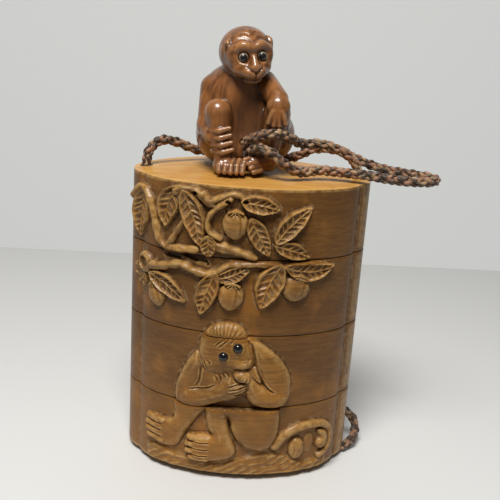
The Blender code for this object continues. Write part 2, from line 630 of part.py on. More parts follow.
def toggle_limbs(p):
    """Two drawn-up legs and two arms that reach over them."""
    limbs = rod(p, (-9.0, -2.0, 89.0), (-9.8, -8.6, 96.0), 4.4, 3.2)
    limbs = join(limbs, rod(p, (-9.8, -8.9, 96.0), (-7.8, -10.0, 84.8), 3.1, 2.3), 0.6)
    limbs = join(limbs, rod(p, (-8.0, -8.6, 83.4), (-5.8, -12.0, 83.0), 2.5, 2.3), 0.7)
    limbs = join(limbs, rod(p, (4.4, -1.5, 89.5), (5.0, -7.4, 96.4), 4.6, 3.3), 0.8)
    limbs = join(limbs, rod(p, (5.0, -7.8, 96.0), (3.2, -7.4, 85.4), 3.0, 2.5), 0.6)
    limbs = join(limbs, rod(p, (3.4, -6.8, 84.2), (-0.4, -10.0, 84.0), 2.8, 2.2), 0.7)
    limbs = join(limbs, rod(p, (-11.4, 0.0, 101.0), (-12.2, -4.6, 92.0), 3.4, 2.8), 1.2)
    limbs = join(limbs, rod(p, (-12.2, -4.6, 92.0), (-10.6, -10.6, 89.6), 2.8, 2.3), 0.8)
    limbs = join(limbs, rod(p, (1.4, -1.6, 103.0), (4.9, -7.6, 99.8), 3.3, 2.6), 1.2)
    limbs = join(limbs, ellipsoid(p, (5.0, -9.2, 98.2), (3.0, 2.2, 2.8)), 0.8)
    return limbs


def toggle_digits(p, solid):
    """Fingers over the shins and toes on the lid."""
    for i in range(4):
        z = 91.7 - 1.75 * i
        x = 0.35 * i
        solid = join(solid, rod(p, (-12.0 + x, -10.2, z), (-6.4 + x, -12.4, z + 0.9), 0.95, 0.8), 0.25)
        x = 2.9 + 1.45 * i
        solid = join(solid, rod(p, (x, -10.9, 97.4), (x, -10.6, 93.6), 0.85, 0.7), 0.25)
    for i in range(5):
        x = -8.6 + 1.45 * i
        reach = -13.9 + 0.25 * abs(i - 2)
        solid = join(solid, rod(p, (x + 0.4, -11.8, 83.2), (x, reach, 82.0), 0.85, 0.8), 0.25)
    for i in range(4):
        solid = join(solid, rod(p, (0.2 + 0.3 * i, -10.6 - 0.2 * i, 85.6 - 1.1 * i),
                                (-2.4 + 0.7 * i, -11.6 - 0.3 * i, 85.0 - 1.0 * i), 0.75, 0.65), 0.25)
    return solid


def toggle_distance(p):
    """Signed distance, negative inside the toggle."""
    drawn = p - TOGGLE_PLACE
    solid = join(toggle_body(drawn), toggle_limbs(drawn), 0.8)
    solid = join(solid, toggle_head(drawn), 1.0)
    solid = toggle_digits(drawn, solid)
    for name in TOGGLE_EYES:
        eye = np.linalg.norm(p - toggle_eye(name), axis=-1)
        solid = np.maximum(solid, TOGGLE_EYE_RADIUS + EYE_CLEARANCE - eye)
    fine = smooth_route(CORD_ROUTE, 1.5)
    near = [q for q in fine if q[2] > CASE_TOP and TOGGLE_LOW[0] < q[0] < TOGGLE_HIGH[0]]
    for q in near:
        gap = np.linalg.norm(p - q, axis=-1) - CORD_RADIUS - CORD_CLEARANCE
        solid = carve_off(solid, gap, 0.1)
    return np.maximum(solid, TOGGLE_SEAT - p[..., 2])


def surface_nets(distance, low, high, cell):
    """The zero surface of a distance field as quads, one point for each crossed cell."""
    axes = [np.arange(a, b + cell, cell) for a, b in zip(low, high)]
    grid = np.stack(np.meshgrid(*axes, indexing="ij"), axis=-1)
    value = np.stack([distance(sheet) for sheet in grid])
    corners = [(i, j, k) for i in (0, 1) for j in (0, 1) for k in (0, 1)]
    size = np.array(value.shape) - 1

    def corner(c):
        return value[c[0]:c[0] + size[0], c[1]:c[1] + size[1], c[2]:c[2] + size[2]]

    count = sum((corner(c) < 0).astype(int) for c in corners)
    cells = np.argwhere((count > 0) & (count < 8))
    number = np.full(size, -1)
    number[tuple(cells.T)] = np.arange(len(cells))
    total = np.zeros((len(cells), 3))
    hits = np.zeros(len(cells))
    for a in corners:
        for axis in range(3):
            if a[axis] == 1:
                continue
            b = tuple(1 if k == axis else a[k] for k in range(3))
            va, vb = corner(a)[tuple(cells.T)], corner(b)[tuple(cells.T)]
            crossed = (va < 0) != (vb < 0)
            share = np.where(crossed, va / np.where(va == vb, 1, va - vb), 0)
            place = np.array(a, float) + share[:, None] * np.eye(3)[axis]
            total += place * crossed[:, None]
            hits += crossed
    verts = (cells + total / hits[:, None]) * cell + np.array(low)
    faces = []
    for axis in range(3):
        u, v = (axis + 1) % 3, (axis + 2) % 3
        step = np.eye(3, dtype=int)
        first = value[tuple(slice(0, -1) if k == axis else slice(1, -1) for k in range(3))] < 0
        second = value[tuple(slice(1, None) if k == axis else slice(1, -1) for k in range(3))] < 0
        for flip in (False, True):
            hit = np.argwhere((first & ~second) if not flip else (~first & second))
            hit = hit + step[u] + step[v]
            around = [hit, hit - step[u], hit - step[u] - step[v], hit - step[v]]
            quad = np.stack([number[tuple(q.T)] for q in around], axis=1)
            faces.append(quad[:, ::-1] if flip else quad)
    return verts, np.concatenate(faces).tolist()


# Pieces

def tray_cuts(section, socket_low, cavity_low, cavity_high):
    """Hollow a section from its mouth, and cut the socket for the riser below it."""
    if socket_low is not None:
        grow = RISER_WALL + FIT_CLEARANCE
        top = socket_low + RISER_HEIGHT + FIT_CLEARANCE
        apply_boolean(section, lens_solid("socket", grow, socket_low - 1, top), "DIFFERENCE")
    apply_boolean(section, lens_solid("hollow", 0, cavity_low, cavity_high), "DIFFERENCE")
    for side in (-1, 1):
        line = [(side * CHANNEL_X, CHANNEL_SETBACK, z) for z in (-5, CASE_TOP + 5)]
        if section.name != "base_case":
            apply_boolean(section, tube("bore", line, CHANNEL_RADIUS), "DIFFERENCE")


def make_tray(name, low, high, floor, socket):
    """One tray: carved block, riser on top, hollow, socket below and two cord bores."""
    tray = section_block(name, low, high, foot=not socket)
    riser = lens_solid("riser", RISER_WALL, high - 1, high + RISER_HEIGHT)
    apply_boolean(tray, riser, "UNION")
    bottom = low + RISER_HEIGHT + FIT_CLEARANCE if socket else low
    tray_cuts(tray, low if socket else None, bottom + floor, high + RISER_HEIGHT + 1)
    return tray


def make_lid():
    low = SEAM_UPPER + SEAM_GAP / 2
    lid = section_block("lid", low, CASE_TOP, LID_CROWN)
    tray_cuts(lid, low, low, CASE_TOP - ROOF)
    return lid


def cut_cord_ways(base):
    """The base's bores turn out to the right and under the foot along a groove."""
    low = [i for i, q in enumerate(CORD_ROUTE) if q[2] < SEAM_BASE]
    way = CORD_ROUTE[low[0] - 1:low[-1] + 2]
    split = int(np.argmax(way[:, 0]))
    first, second = way[:split + 1], way[split:]
    for name, line in (("outlet", first), ("groove", second)):
        apply_boolean(base, tube(name, line, CHANNEL_RADIUS), "DIFFERENCE")
    flat = [q for q in second if q[2] < CORD_RADIUS + 0.4]
    slot = [(q[0], q[1], -0.2) for q in flat]
    apply_boolean(base, tube("slot", slot, CHANNEL_RADIUS), "DIFFERENCE")


def relief_eye_place(name):
    """A bead's centre, a little below the carved face at its drawn place."""
    s, drawn = RELIEF_EYES[name]
    z = np.interp(drawn, DRAWN_LEVELS, LEVELS)
    return on_surface(s, z, float(relief(np.array([s]), np.array([z]))[0]) - RELIEF_EYE_SINK)


def bead(name, centre, radius):
    """A small glass bead."""
    mesh = bpy.data.meshes.new(name)
    shape = bmesh.new()
    bmesh.ops.create_uvsphere(shape, u_segments=10, v_segments=6, radius=radius * MM)
    bmesh.ops.translate(shape, vec=Vector(centre) * MM, verts=shape.verts)
    shape.to_mesh(mesh)
    shape.free()
    obj = bpy.data.objects.new(name, mesh)
    bpy.context.collection.objects.link(obj)
    return obj


def make_netsuke():
    low = (*TOGGLE_LOW, TOGGLE_SEAT - 1.3)
    high = (*TOGGLE_HIGH, TOGGLE_SEAT + TOGGLE_REACH)
    verts, faces = surface_nets(toggle_distance, low, high, TOGGLE_CELL)
    toggle = new_object("netsuke", verts, faces)
    skin = toggle.modifiers.new("skin", "REMESH")
    skin.mode = "VOXEL"
    skin.voxel_size = TOGGLE_CELL * MM
    bake(toggle)
    reduce_faces(toggle, TOGGLE_FACES)
    return toggle


# Colour and surface

def paint(obj, name, color, roughness):
    """A plain Principled material for one piece."""
    material = bpy.data.materials.new(name)
    material.use_nodes = True
    shader = material.node_tree.nodes["Principled BSDF"]
    shader.inputs["Base Color"].default_value = (*color, 1)
    shader.inputs["Roughness"].default_value = roughness
    shader.inputs["Metallic"].default_value = 0.0
    obj.data.materials.clear()
    obj.data.materials.append(material)


def main():
    for old in list(bpy.data.objects):
        bpy.data.objects.remove(old)
    half_gap = SEAM_GAP / 2
    base = make_tray("base_case", FOOT_HEIGHT, SEAM_BASE - half_gap, BASE_FLOOR, False)
    cut_cord_ways(base)
    middle = make_tray("middle_case", SEAM_BASE + half_gap, SEAM_MIDDLE - half_gap, FLOOR, True)
    upper = make_tray("upper_case", SEAM_MIDDLE + half_gap, SEAM_UPPER - half_gap, FLOOR, True)
    lid = make_lid()
    for piece in (base, middle, upper, lid):
        paint(piece, piece.name + "_wood", (0.42, 0.22, 0.075), 0.42)
    for name in RELIEF_EYES:
        place = relief_eye_place(name)
        socket = bead("socket", place, RELIEF_EYE_RADIUS + EYE_CLEARANCE)
        apply_boolean(middle, socket, "DIFFERENCE")
        paint(bead(name, place, RELIEF_EYE_RADIUS), name + "_glass", (0.01, 0.009, 0.008), 0.08)
    paint(make_netsuke(), "netsuke_wood", (0.27, 0.1, 0.04), 0.3)
    for name in TOGGLE_EYES:
        eye = bead(name, toggle_eye(name), TOGGLE_EYE_RADIUS)
        paint(eye, name + "_inlay", (0.55, 0.5, 0.38), 0.12)
    paint(make_cord(), "cord_braid", (0.2, 0.1, 0.05), 0.7)


main()
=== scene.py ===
# %% [markdown]
# An inro is a stack of small lacquered or carved trays that hung from a sash.  This one is
# boxwood, carved with a peach tree and a monkey that hides its mouth, and a second monkey,
# the toggle, sits on the lid.  The frame gives every real piece at its true size and place.
# This lesson dresses those pieces: it carves the relief again at the fineness of a chisel,
# plaits the cord, and gives wood, glass and silk their finish.

# %% The frame
import bpy
import bmesh
import numpy as np
from mathutils import Matrix, Vector


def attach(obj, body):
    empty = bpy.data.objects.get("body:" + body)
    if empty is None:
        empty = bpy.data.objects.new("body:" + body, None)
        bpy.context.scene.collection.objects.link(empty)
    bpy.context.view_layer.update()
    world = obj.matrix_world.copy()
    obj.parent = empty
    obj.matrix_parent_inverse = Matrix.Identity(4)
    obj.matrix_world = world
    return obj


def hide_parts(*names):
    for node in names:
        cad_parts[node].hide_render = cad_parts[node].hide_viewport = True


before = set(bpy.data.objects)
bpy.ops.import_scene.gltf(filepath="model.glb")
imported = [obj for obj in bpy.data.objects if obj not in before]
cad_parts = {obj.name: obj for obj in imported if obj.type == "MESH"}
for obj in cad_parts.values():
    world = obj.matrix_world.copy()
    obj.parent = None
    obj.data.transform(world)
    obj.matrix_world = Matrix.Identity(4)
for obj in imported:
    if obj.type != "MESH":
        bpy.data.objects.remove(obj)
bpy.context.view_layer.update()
print("nodes:", sorted(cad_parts))

MM = 0.001

# %% [markdown]
# The camera looks at the case from a little above and stands a hand's breadth too high to
# see the floor under it.  Its place is written as turn, tilt, roll and distance from a
# target in the middle of the case, because those are the numbers that one adjusts when a
# render is laid beside a photograph.

# %% Camera
VIEW_TURN = np.radians(-1.83)
VIEW_TILT = np.radians(16.88)
VIEW_ROLL = np.radians(3.73)
VIEW_DISTANCE = 207.04
VIEW_TARGET = (0.6, 0.0, 58.16)
FOCAL_LENGTH = 54.65
SENSOR_WIDTH = 36.0


def add_object(name, data):
    """An object that puts a mesh, a curve, a lamp or a lens into the scene."""
    obj = bpy.data.objects.new(name, data)
    bpy.context.collection.objects.link(obj)
    return obj


def make_camera():
    """A camera that looks at the target, rolled a little to its left."""
    back = np.array([np.sin(VIEW_TURN) * np.cos(VIEW_TILT), -np.cos(VIEW_TURN) * np.cos(VIEW_TILT),
                     np.sin(VIEW_TILT)])
    right = np.array([np.cos(VIEW_TURN), np.sin(VIEW_TURN), 0.0])
    up = np.cross(back, right)
    c, s = np.cos(VIEW_ROLL), np.sin(VIEW_ROLL)
    axes = np.stack([c * right + s * up, -s * right + c * up, back], axis=1)
    place = np.array(VIEW_TARGET) + back * VIEW_DISTANCE
    lens = bpy.data.cameras.new("camera")
    lens.lens = FOCAL_LENGTH
    lens.sensor_width = SENSOR_WIDTH
    lens.clip_start = 0.01
    camera = add_object("camera", lens)
    camera.matrix_world = Matrix.Translation(Vector(place) * MM) @ Matrix(axes.tolist()).to_4x4()
    bpy.context.scene.camera = camera
    print("camera at", np.round(place, 1), "mm")


make_camera()

# %% [markdown]
# A material is a small graph, and so is a Geometry Nodes tree.  Written out node by node
# they hide their own idea, so one class wraps a socket and lets it be added, multiplied
# and mixed like a number, and a second one holds the tree and makes any other node.

# %% Node arithmetic


class Value:
    """A socket of a node tree, with the usual operators as Math nodes."""

    def __init__(self, graph, socket):
        self.graph = graph
        self.socket = socket

    def math(self, operation, first, second=0.0):
        return self.graph.node("ShaderNodeMath", {"operation": operation}, {0: first, 1: second})

    def __add__(self, other):
        return self.math("ADD", self, other)

    def __radd__(self, other):
        return self.math("ADD", other, self)

    def __sub__(self, other):
        return self.math("SUBTRACT", self, other)

    def __rsub__(self, other):
        return self.math("SUBTRACT", other, self)

    def __mul__(self, other):
        return self.math("MULTIPLY", self, other)

    def __rmul__(self, other):
        return self.math("MULTIPLY", other, self)

    def __truediv__(self, other):
        return self.math("DIVIDE", self, other)

    def __rtruediv__(self, other):
        return self.math("DIVIDE", other, self)

    def wave(self, operation="SINE"):
        return self.math(operation, self)


class Graph:
    """A node tree that is put together by expressions."""

    def __init__(self, tree):
        self.tree = tree

    def node(self, kind, settings=None, sockets=None, output=0):
        """Any node: its settings first, then the values or links of its sockets."""
        made = self.tree.nodes.new(kind)
        for key, setting in (settings or {}).items():
            setattr(made, key, setting)
        for key, value in (sockets or {}).items():
            if isinstance(value, Value):
                self.tree.links.new(value.socket, made.inputs[key])
            else:
                made.inputs[key].default_value = value
        return Value(self, made.outputs[output])

    def vector(self, operation, first, second, key=1):
        sockets = {0: first, key: second}
        return self.node("ShaderNodeVectorMath", {"operation": operation}, sockets)


class Finish(Graph):
    """A Principled material.  Plain numbers go on the shader's own sockets."""

    def __init__(self, name, **plain):
        self.material = bpy.data.materials.new(name)
        self.material.use_nodes = True
        super().__init__(self.material.node_tree)
        self.shader = self.tree.nodes["Principled BSDF"]
        for key, number in plain.items():
            self.shader.inputs[key.replace("_", " ")].default_value = number

    def place(self, scale=(1.0, 1.0, 1.0), turn=(0.0, 0.0, 0.0), shift=(0.0, 0.0, 0.0)):
        """Object coordinates in millimetres, stretched, turned and shifted."""
        where = self.node("ShaderNodeTexCoord", output=3)
        size = tuple(c / MM for c in scale)
        sockets = {0: where, 1: shift, 2: turn, 3: size}
        return self.node("ShaderNodeMapping", {"vector_type": "POINT"}, sockets)

    def height(self):
        """Height above the table in millimetres."""
        return self.node("ShaderNodeSeparateXYZ", None, {0: self.place()}, output=2)

    def noise(self, where, scale, detail=3.0, rough=0.55, warp=0.0):
        sockets = {"Vector": where, "Scale": scale, "Detail": detail, "Roughness": rough,
                   "Distortion": warp}
        return self.node("ShaderNodeTexNoise", None, sockets)

    def span(self, value, low, high, to_low=0.0, to_high=1.0):
        """A smooth step of a value from one range to another."""
        sockets = {0: value, 1: low, 2: high, 3: to_low, 4: to_high}
        return self.node("ShaderNodeMapRange", {"interpolation_type": "SMOOTHSTEP"}, sockets)

    def mix(self, share, first, second, blend="MIX"):
        """Two colours, each a tuple or a value, mixed by a share."""
        first = (*first, 1.0) if isinstance(first, tuple) else first
        second = (*second, 1.0) if isinstance(second, tuple) else second
        settings = {"data_type": "RGBA", "blend_type": blend}
        return self.node("ShaderNodeMix", settings, {0: share, 6: first, 7: second}, output=2)

    def layers(self, body, *coats):
        """Colours laid over a body colour one after the other, each with its share."""
        for share, color in coats:
            body = self.mix(share, body, color)
        return body

    def attribute(self, name):
        return self.node("ShaderNodeAttribute", {"attribute_name": name}, output=2)

    def bump(self, height, strength, distance):
        sockets = {"Height": height, "Strength": strength, "Distance": distance * MM}
        return self.node("ShaderNodeBump", None, sockets)

    def feed(self, **links):
        """Link values to the shader's sockets and give the finished material."""
        for key, value in links.items():
            self.tree.links.new(value.socket, self.shader.inputs[key.replace("_", " ")])
        print("%s: %d nodes" % (self.material.name, len(self.tree.nodes)))
        return self.material


# %% [markdown]
# Old boxwood is honey brown, paler where hands have worn the carving and nearly black in the
# cuts, where wax and dust settle.  Its edges also carry a painted highlight, and the lid's
# top painted light.  A painted image would have to be lined up with each leaf.
# Two numbers that the mesh carries follow the carving by themselves: hollow, which is high
# in a cut and low on an edge, and lift, the height of the carving.

# %% Case wood
CASE_TOP = 79.8


def case_wood():
    """Waxed boxwood with worn edges that carry a painted highlight, dark cuts, fine level grain and a
    lid top painted lighter as if lit from above.
    """
    wood = Finish("case_wood", Coat_Weight=0.17, Coat_Roughness=0.2, Specular_IOR_Level=0.18)
    hollow = wood.attribute("hollow")
    lift = wood.attribute("lift")
    grain = wood.noise(wood.place((0.05, 0.3, 1.1)), 1.5, 5.0, 0.6, 0.5)
    fine = wood.noise(wood.place((0.1, 1.2, 4.0)), 1.9, 3.0, 0.55)
    cloud = wood.noise(wood.place((0.05, 0.05, 0.07)), 1.0, 3.0, 0.55, 0.4)
    warm = wood.noise(wood.place((0.11, 0.11, 0.09), shift=(5.3, 2.0, 1.0)), 1.0, 3.0)
    patch = wood.noise(wood.place((0.7, 0.7, 0.7)), 1.0, 3.0, 0.6)
    worn_edge_and_highlight = wood.span(hollow, -0.006, -0.06)
    dust = wood.span(hollow, 0.008, 0.04)
    cut = wood.span(hollow, 0.045, 0.13)
    height = wood.height()
    ground = wood.mix(wood.span(grain, 0.3, 0.7), (0.122, 0.053, 0.012), (0.188, 0.084, 0.019))
    worn = wood.mix(wood.span(grain, 0.32, 0.68), (0.175, 0.077, 0.015), (0.37, 0.166, 0.030))
    # Painted light: the lid's top is coloured golden as if the lamp shone brighter on it.
    lid_top_painted_light = wood.mix(wood.span(grain, 0.3, 0.7), (0.50, 0.235, 0.050), (0.62, 0.33, 0.078))
    body = wood.layers(
        ground,
        # The carving is rubbed paler than the ground behind it.
        (wood.span(lift, 0.3, 1.3) * 0.55, worn),
        # Stains, warm patches and pale flecks of the grain.
        (wood.span(cloud, 0.38, 0.68) * 0.5, (0.085, 0.035, 0.011)),
        (wood.span(warm, 0.48, 0.72) * 0.5, (0.34, 0.138, 0.022)),
        (wood.span(fine, 0.5, 0.8) * 0.12, (0.36, 0.20, 0.07)),
        # A paler lower part, dark joints and insides, and a golden lid top: painted light from above.
        (wood.span(height, 34.0, 4.0) * 0.3, (0.42, 0.185, 0.038)),
        (wood.span(lift, -0.5, -1.4) * 0.9, (0.030, 0.014, 0.007)),
        (wood.span(height, CASE_TOP - 0.25, CASE_TOP + 0.05) * 0.85, lid_top_painted_light),
        # Edges worn paler and partly a painted highlight, dust on the slopes and wax in the cuts.
        (worn_edge_and_highlight * wood.span(patch, 0.3, 0.62, 0.06, 0.34), (0.70, 0.46, 0.18)),
        (dust * wood.span(patch, 0.42, 0.62, 0.0, 0.4), (0.40, 0.28, 0.15)),
        (cut * wood.span(patch, 0.65, 0.3, 0.25, 0.65), (0.07, 0.03, 0.011)))
    polish = wood.noise(wood.place((0.3, 0.3, 0.3)), 1.0, 2.0)
    rough = 0.38 + polish * 0.14 + cut * 0.3 + dust * 0.08 - worn_edge_and_highlight * 0.06
    marks = wood.noise(wood.place((0.5, 1.2, 5.0)), 1.5, 3.0, 0.6)
    surface = wood.bump(marks * 0.6 + grain * 0.5, 0.18, 0.12)
    return wood.feed(Base_Color=body, Roughness=rough, Normal=surface)


CASE_WOOD = case_wood()

# %% [markdown]
# The toggle is a redder, denser wood that has been handled for years, so it is glossy, with
# dark streaks and a warm glow where it is worn thin.  Old polish shines only on the surface,
# so the gloss is a clear coat over a duller wood and not a low roughness of the wood itself.

# %% Toggle wood
MIDDLE_OF_LAP = (-1.5, -7.5, 94.0)


def toggle_wood():
    """Polished red-brown wood, darker in its hollows, with worn edges that carry a painted highlight
    and painted shade in the lap.
    """
    wood = Finish("netsuke_wood", Coat_Weight=0.6, Coat_Roughness=0.13, Specular_IOR_Level=0.3)
    hollow = wood.attribute("hollow")
    grain = wood.noise(wood.place((0.35, 0.35, 0.06), (0.15, 0.2, 0.0)), 1.7, 4.0, 0.6, 0.8)
    cloud = wood.noise(wood.place((0.09, 0.09, 0.07), shift=(3.1, 0, 0)), 1.0, 3.0)
    worn_edge_and_highlight = wood.span(hollow, -0.006, -0.06)
    cut = wood.span(hollow, 0.012, 0.075)
    lap = wood.node("ShaderNodeVectorMath", {"operation": "DISTANCE"},
                    {0: wood.place(), 1: MIDDLE_OF_LAP}, output=1)
    body = wood.layers(
        wood.mix(wood.span(grain, 0.3, 0.72), (0.085, 0.031, 0.011), (0.245, 0.092, 0.026)),
        (wood.span(cloud, 0.46, 0.72) * 0.65, (0.34, 0.125, 0.028)),
        # Painted shade: the lap between the knees, where little light reaches, is darker than the rest.
        (wood.span(lap, 8.5, 3.0) * 0.6, (0.040, 0.017, 0.008)),
        # Edges worn paler, partly a painted highlight.
        (worn_edge_and_highlight * 0.35, (0.46, 0.24, 0.10)),
        (cut * 0.75, (0.03, 0.012, 0.005)))
    rough = 0.28 + grain * 0.1 + cut * 0.25
    hair = wood.noise(wood.place((3.2, 3.2, 0.35)), 1.2, 2.0, 0.5, 0.3)
    return wood.feed(Base_Color=body, Roughness=rough, Normal=wood.bump(hair, 0.08, 0.08))


TOGGLE_WOOD = toggle_wood()

# %% [markdown]
# Both monkeys have set-in eyes: plain black glass in the relief, and pale horn with a dark
# pupil in the toggle.  The pupil is drawn by the number gaze that each bead carries, one
# where it looks and falling off round it.  The silk does the same with numbers of its
# strands: which one it is, how far along, and whether it runs over or under its neighbour.

# %% Eyes and silk


def eye_inlay():
    """Pale horn with a thin dark rim and a dark pupil."""
    horn = Finish("eye_inlay", Coat_Weight=0.6, Coat_Roughness=0.03, Specular_IOR_Level=0.3)
    gaze = horn.attribute("gaze")
    cloud = horn.noise(horn.place((1.4, 1.4, 1.4)), 1.0, 2.0)
    pale = horn.mix(horn.span(cloud, 0.35, 0.7), (0.25, 0.215, 0.155), (0.13, 0.11, 0.075))
    body = horn.layers(
        pale,
        (horn.span(gaze, 0.60, 0.70), (0.08, 0.055, 0.03)),
        (horn.span(gaze, 0.70, 0.78), (0.004, 0.004, 0.004)),
        (horn.span(gaze, 0.52, 0.34), (0.05, 0.022, 0.010)))
    return horn.feed(Base_Color=body)


def black_glass():
    """Black glass with a still darker pupil."""
    glass = Finish("black_glass", Coat_Weight=0.4, Coat_Roughness=0.02, Roughness=0.1,
                   Specular_IOR_Level=0.3)
    gaze = glass.attribute("gaze")
    body = glass.mix(glass.span(gaze, 0.62, 0.72), (0.012, 0.010, 0.009), (0.005, 0.005, 0.006))
    return glass.feed(Base_Color=body)


def cord_silk():
    """Brown and dull gold strands, each of fine twisted threads, with painted shade where a strand
    passes under another.
    """
    silk = Finish("cord_braid", Sheen_Weight=0.35, Sheen_Roughness=0.4, Roughness=0.5)
    strand = silk.attribute("strand")
    along = silk.attribute("along")
    around = silk.attribute("around")
    slow = silk.noise(silk.place((0.06, 0.06, 0.06)), 1.0, 2.0)
    speck = silk.noise(silk.place((1.5, 1.5, 1.5)), 1.0, 3.0, 0.6)
    over = silk.attribute("over")
    pick = (strand * 2.4).wave() * 0.5 + 0.5
    red = silk.mix(silk.span(speck, 0.3, 0.7), (0.21, 0.096, 0.048), (0.40, 0.205, 0.110))
    gold = silk.mix(silk.span(speck, 0.3, 0.7), (0.22, 0.128, 0.058), (0.44, 0.275, 0.140))
    twist = (around * 37.7 + along * 3200.0).wave() * 0.5 + 0.5
    body = silk.layers(
        silk.mix(silk.span(pick + (slow - 0.5) * 0.9, 0.5, 0.75), red, gold),
        (twist * 0.2, (0.06, 0.03, 0.014)),
        # Painted shade: a strand is darkened where it dives under another, in the shade between
        # strands.
        (silk.span(over, 0.5, -0.6) * 0.9, (0.020, 0.010, 0.005)))
    return silk.feed(Base_Color=body, Normal=silk.bump(twist, 0.3, 0.05))


EYE_INLAY = eye_inlay()
BLACK_GLASS = black_glass()
CORD_SILK = cord_silk()

# %% [markdown]
# The carver draws the design on paper wrapped round the case and cuts the ground away
# from it.  Code can do the same: the outer wall is a sheet measured by s, the length along
# its outline, and z, the height, and every leaf, limb and fruit is a height over that sheet.
# First comes the outline of the plan, a lens whose two wings hold the cord.

# %% Plan of the case
HALF_WIDTH = 31.0
HALF_PANEL = 27.1
WING_DEPTH = 9.5
FRONT_BULGE = 11.3
BACK_DEPTH = 22.2
FRONT_ROUNDNESS = 1.35
BACK_ROUNDNESS = 1.32
WING_ROUNDNESS = 3.0
NORMAL_BLEND = 1.6
FOOT_HEIGHT = 1.5
SEAM_BASE = 21.5
SEAM_MIDDLE = 41.7
SEAM_UPPER = 61.9
LID_CROWN = 0.9
SEAM_GAP = 0.3


def closed_outline():
    """Dense points round the plan from the left wing over the front, and their lengths
    along the outline, counted from the middle of the front."""
    turn = np.linspace(-np.pi / 2, np.pi / 2, 1201)
    rise = np.clip(np.cos(turn), 0, 1)
    front_x = HALF_PANEL * np.sin(turn)
    front_y = -(WING_DEPTH + FRONT_BULGE * rise ** FRONT_ROUNDNESS)
    share = (HALF_PANEL / HALF_WIDTH) ** WING_ROUNDNESS
    wing_reach = WING_DEPTH / (1 - share) ** (1 / WING_ROUNDNESS)
    wing_y = np.linspace(0, WING_DEPTH, 200)
    wing_x = HALF_WIDTH * (1 - (wing_y / wing_reach) ** WING_ROUNDNESS) ** (1 / WING_ROUNDNESS)
    back_x = -HALF_WIDTH * np.sin(turn)
    back_y = BACK_DEPTH * rise ** BACK_ROUNDNESS
    x = np.concatenate([-wing_x, front_x, wing_x[::-1], back_x])
    y = np.concatenate([-wing_y, front_y, -wing_y[::-1], back_y])
    length = np.concatenate([[0], np.cumsum(np.hypot(np.diff(x), np.diff(y)))])
    keep = np.concatenate([[True], np.diff(length) > 1e-9])
    x, y, length = x[keep], y[keep], length[keep]
    return x, y, length - length[np.argmin(y)]


OUTLINE_X, OUTLINE_Y, OUTLINE_S = closed_outline()
GIRTH = OUTLINE_S[-1] - OUTLINE_S[0]
FRONT_HALF = -OUTLINE_S[0]
print("girth of the case: %.1f mm" % GIRTH)


def outline_point(s):
    """Plan position at the length s along the outline, which wraps round."""
    s = (np.asarray(s, float) - OUTLINE_S[0]) % GIRTH + OUTLINE_S[0]
    return np.interp(s, OUTLINE_S, OUTLINE_X), np.interp(s, OUTLINE_S, OUTLINE_Y)


def outline_normal(s):
    """Outward direction at s, blended a little so that the valleys stay open."""
    ahead_x, ahead_y = outline_point(np.asarray(s) + NORMAL_BLEND)
    behind_x, behind_y = outline_point(np.asarray(s) - NORMAL_BLEND)
    tx, ty = ahead_x - behind_x, ahead_y - behind_y
    size = np.hypot(tx, ty)
    return ty / size, -tx / size


def on_surface(s, z, height):
    """Space position of a point that stands out from the wall by a height."""
    x, y = outline_point(s)
    nx, ny = outline_normal(s)
    return np.array([x + nx * height, y + ny * height, z])


# %% [markdown]
# A chisel leaves a few kinds of mark: a leaf with a raised margin and pillows between its
# veins, a round stem with bark, a fruit with a crease and a calyx, a rounded form inside a
# drawn line, a pocket and a groove.  Each is one method here, and a smooth maximum sets one
# form on another the way a carver blends them.

# %% Carving tools


def smooth_max(a, b, blend):
    """The larger of two heights, rounded where they meet."""
    mix = np.clip(0.5 + 0.5 * (a - b) / blend, 0, 1)
    return b + (a - b) * mix + blend * mix * (1 - mix)


def ease(t):
    """A soft step from 0 to 1."""
    t = np.clip(t, 0, 1)
    return t * t * (3 - 2 * t)


def bell(x, width):
    """A bump of height 1 at zero."""
    return np.exp(-(x / width) ** 2)


def ripple(a, b, seed, count=7):
    """Gentle seeded noise between about -1 and 1."""
    draw = np.random.default_rng(seed)
    total = np.zeros(np.broadcast(a, b).shape)
    for _ in range(count):
        angle = draw.uniform(0, 2 * np.pi)
        pace = draw.uniform(0.6, 1.6)
        total += np.sin((a * np.cos(angle) + b * np.sin(angle)) * pace + draw.uniform(0, 6.3))
    return total / count ** 0.5 / 1.2


def flow(points, per=5):
    """Points on a smooth line through the given places."""
    p = np.array(points, float)
    if len(p) < 3:
        return p
    p = np.concatenate([[2 * p[0] - p[1]], p, [2 * p[-1] - p[-2]]])
    parts = []
    for i in range(1, len(p) - 2):
        t = np.linspace(0, 1, per, endpoint=False)[:, None]
        a, b, c, d = p[i - 1], p[i], p[i + 1], p[i + 2]
        curve = 2 * b + (c - a) * t + (2 * a - 5 * b + 4 * c - d) * t ** 2
        parts.append(0.5 * (curve + (3 * b - a - 3 * c + d) * t ** 3))
    return np.concatenate(parts + [p[-2:-1]])


LEAF_FULLNESS = 0.85
LIMB_FULLNESS = 0.45


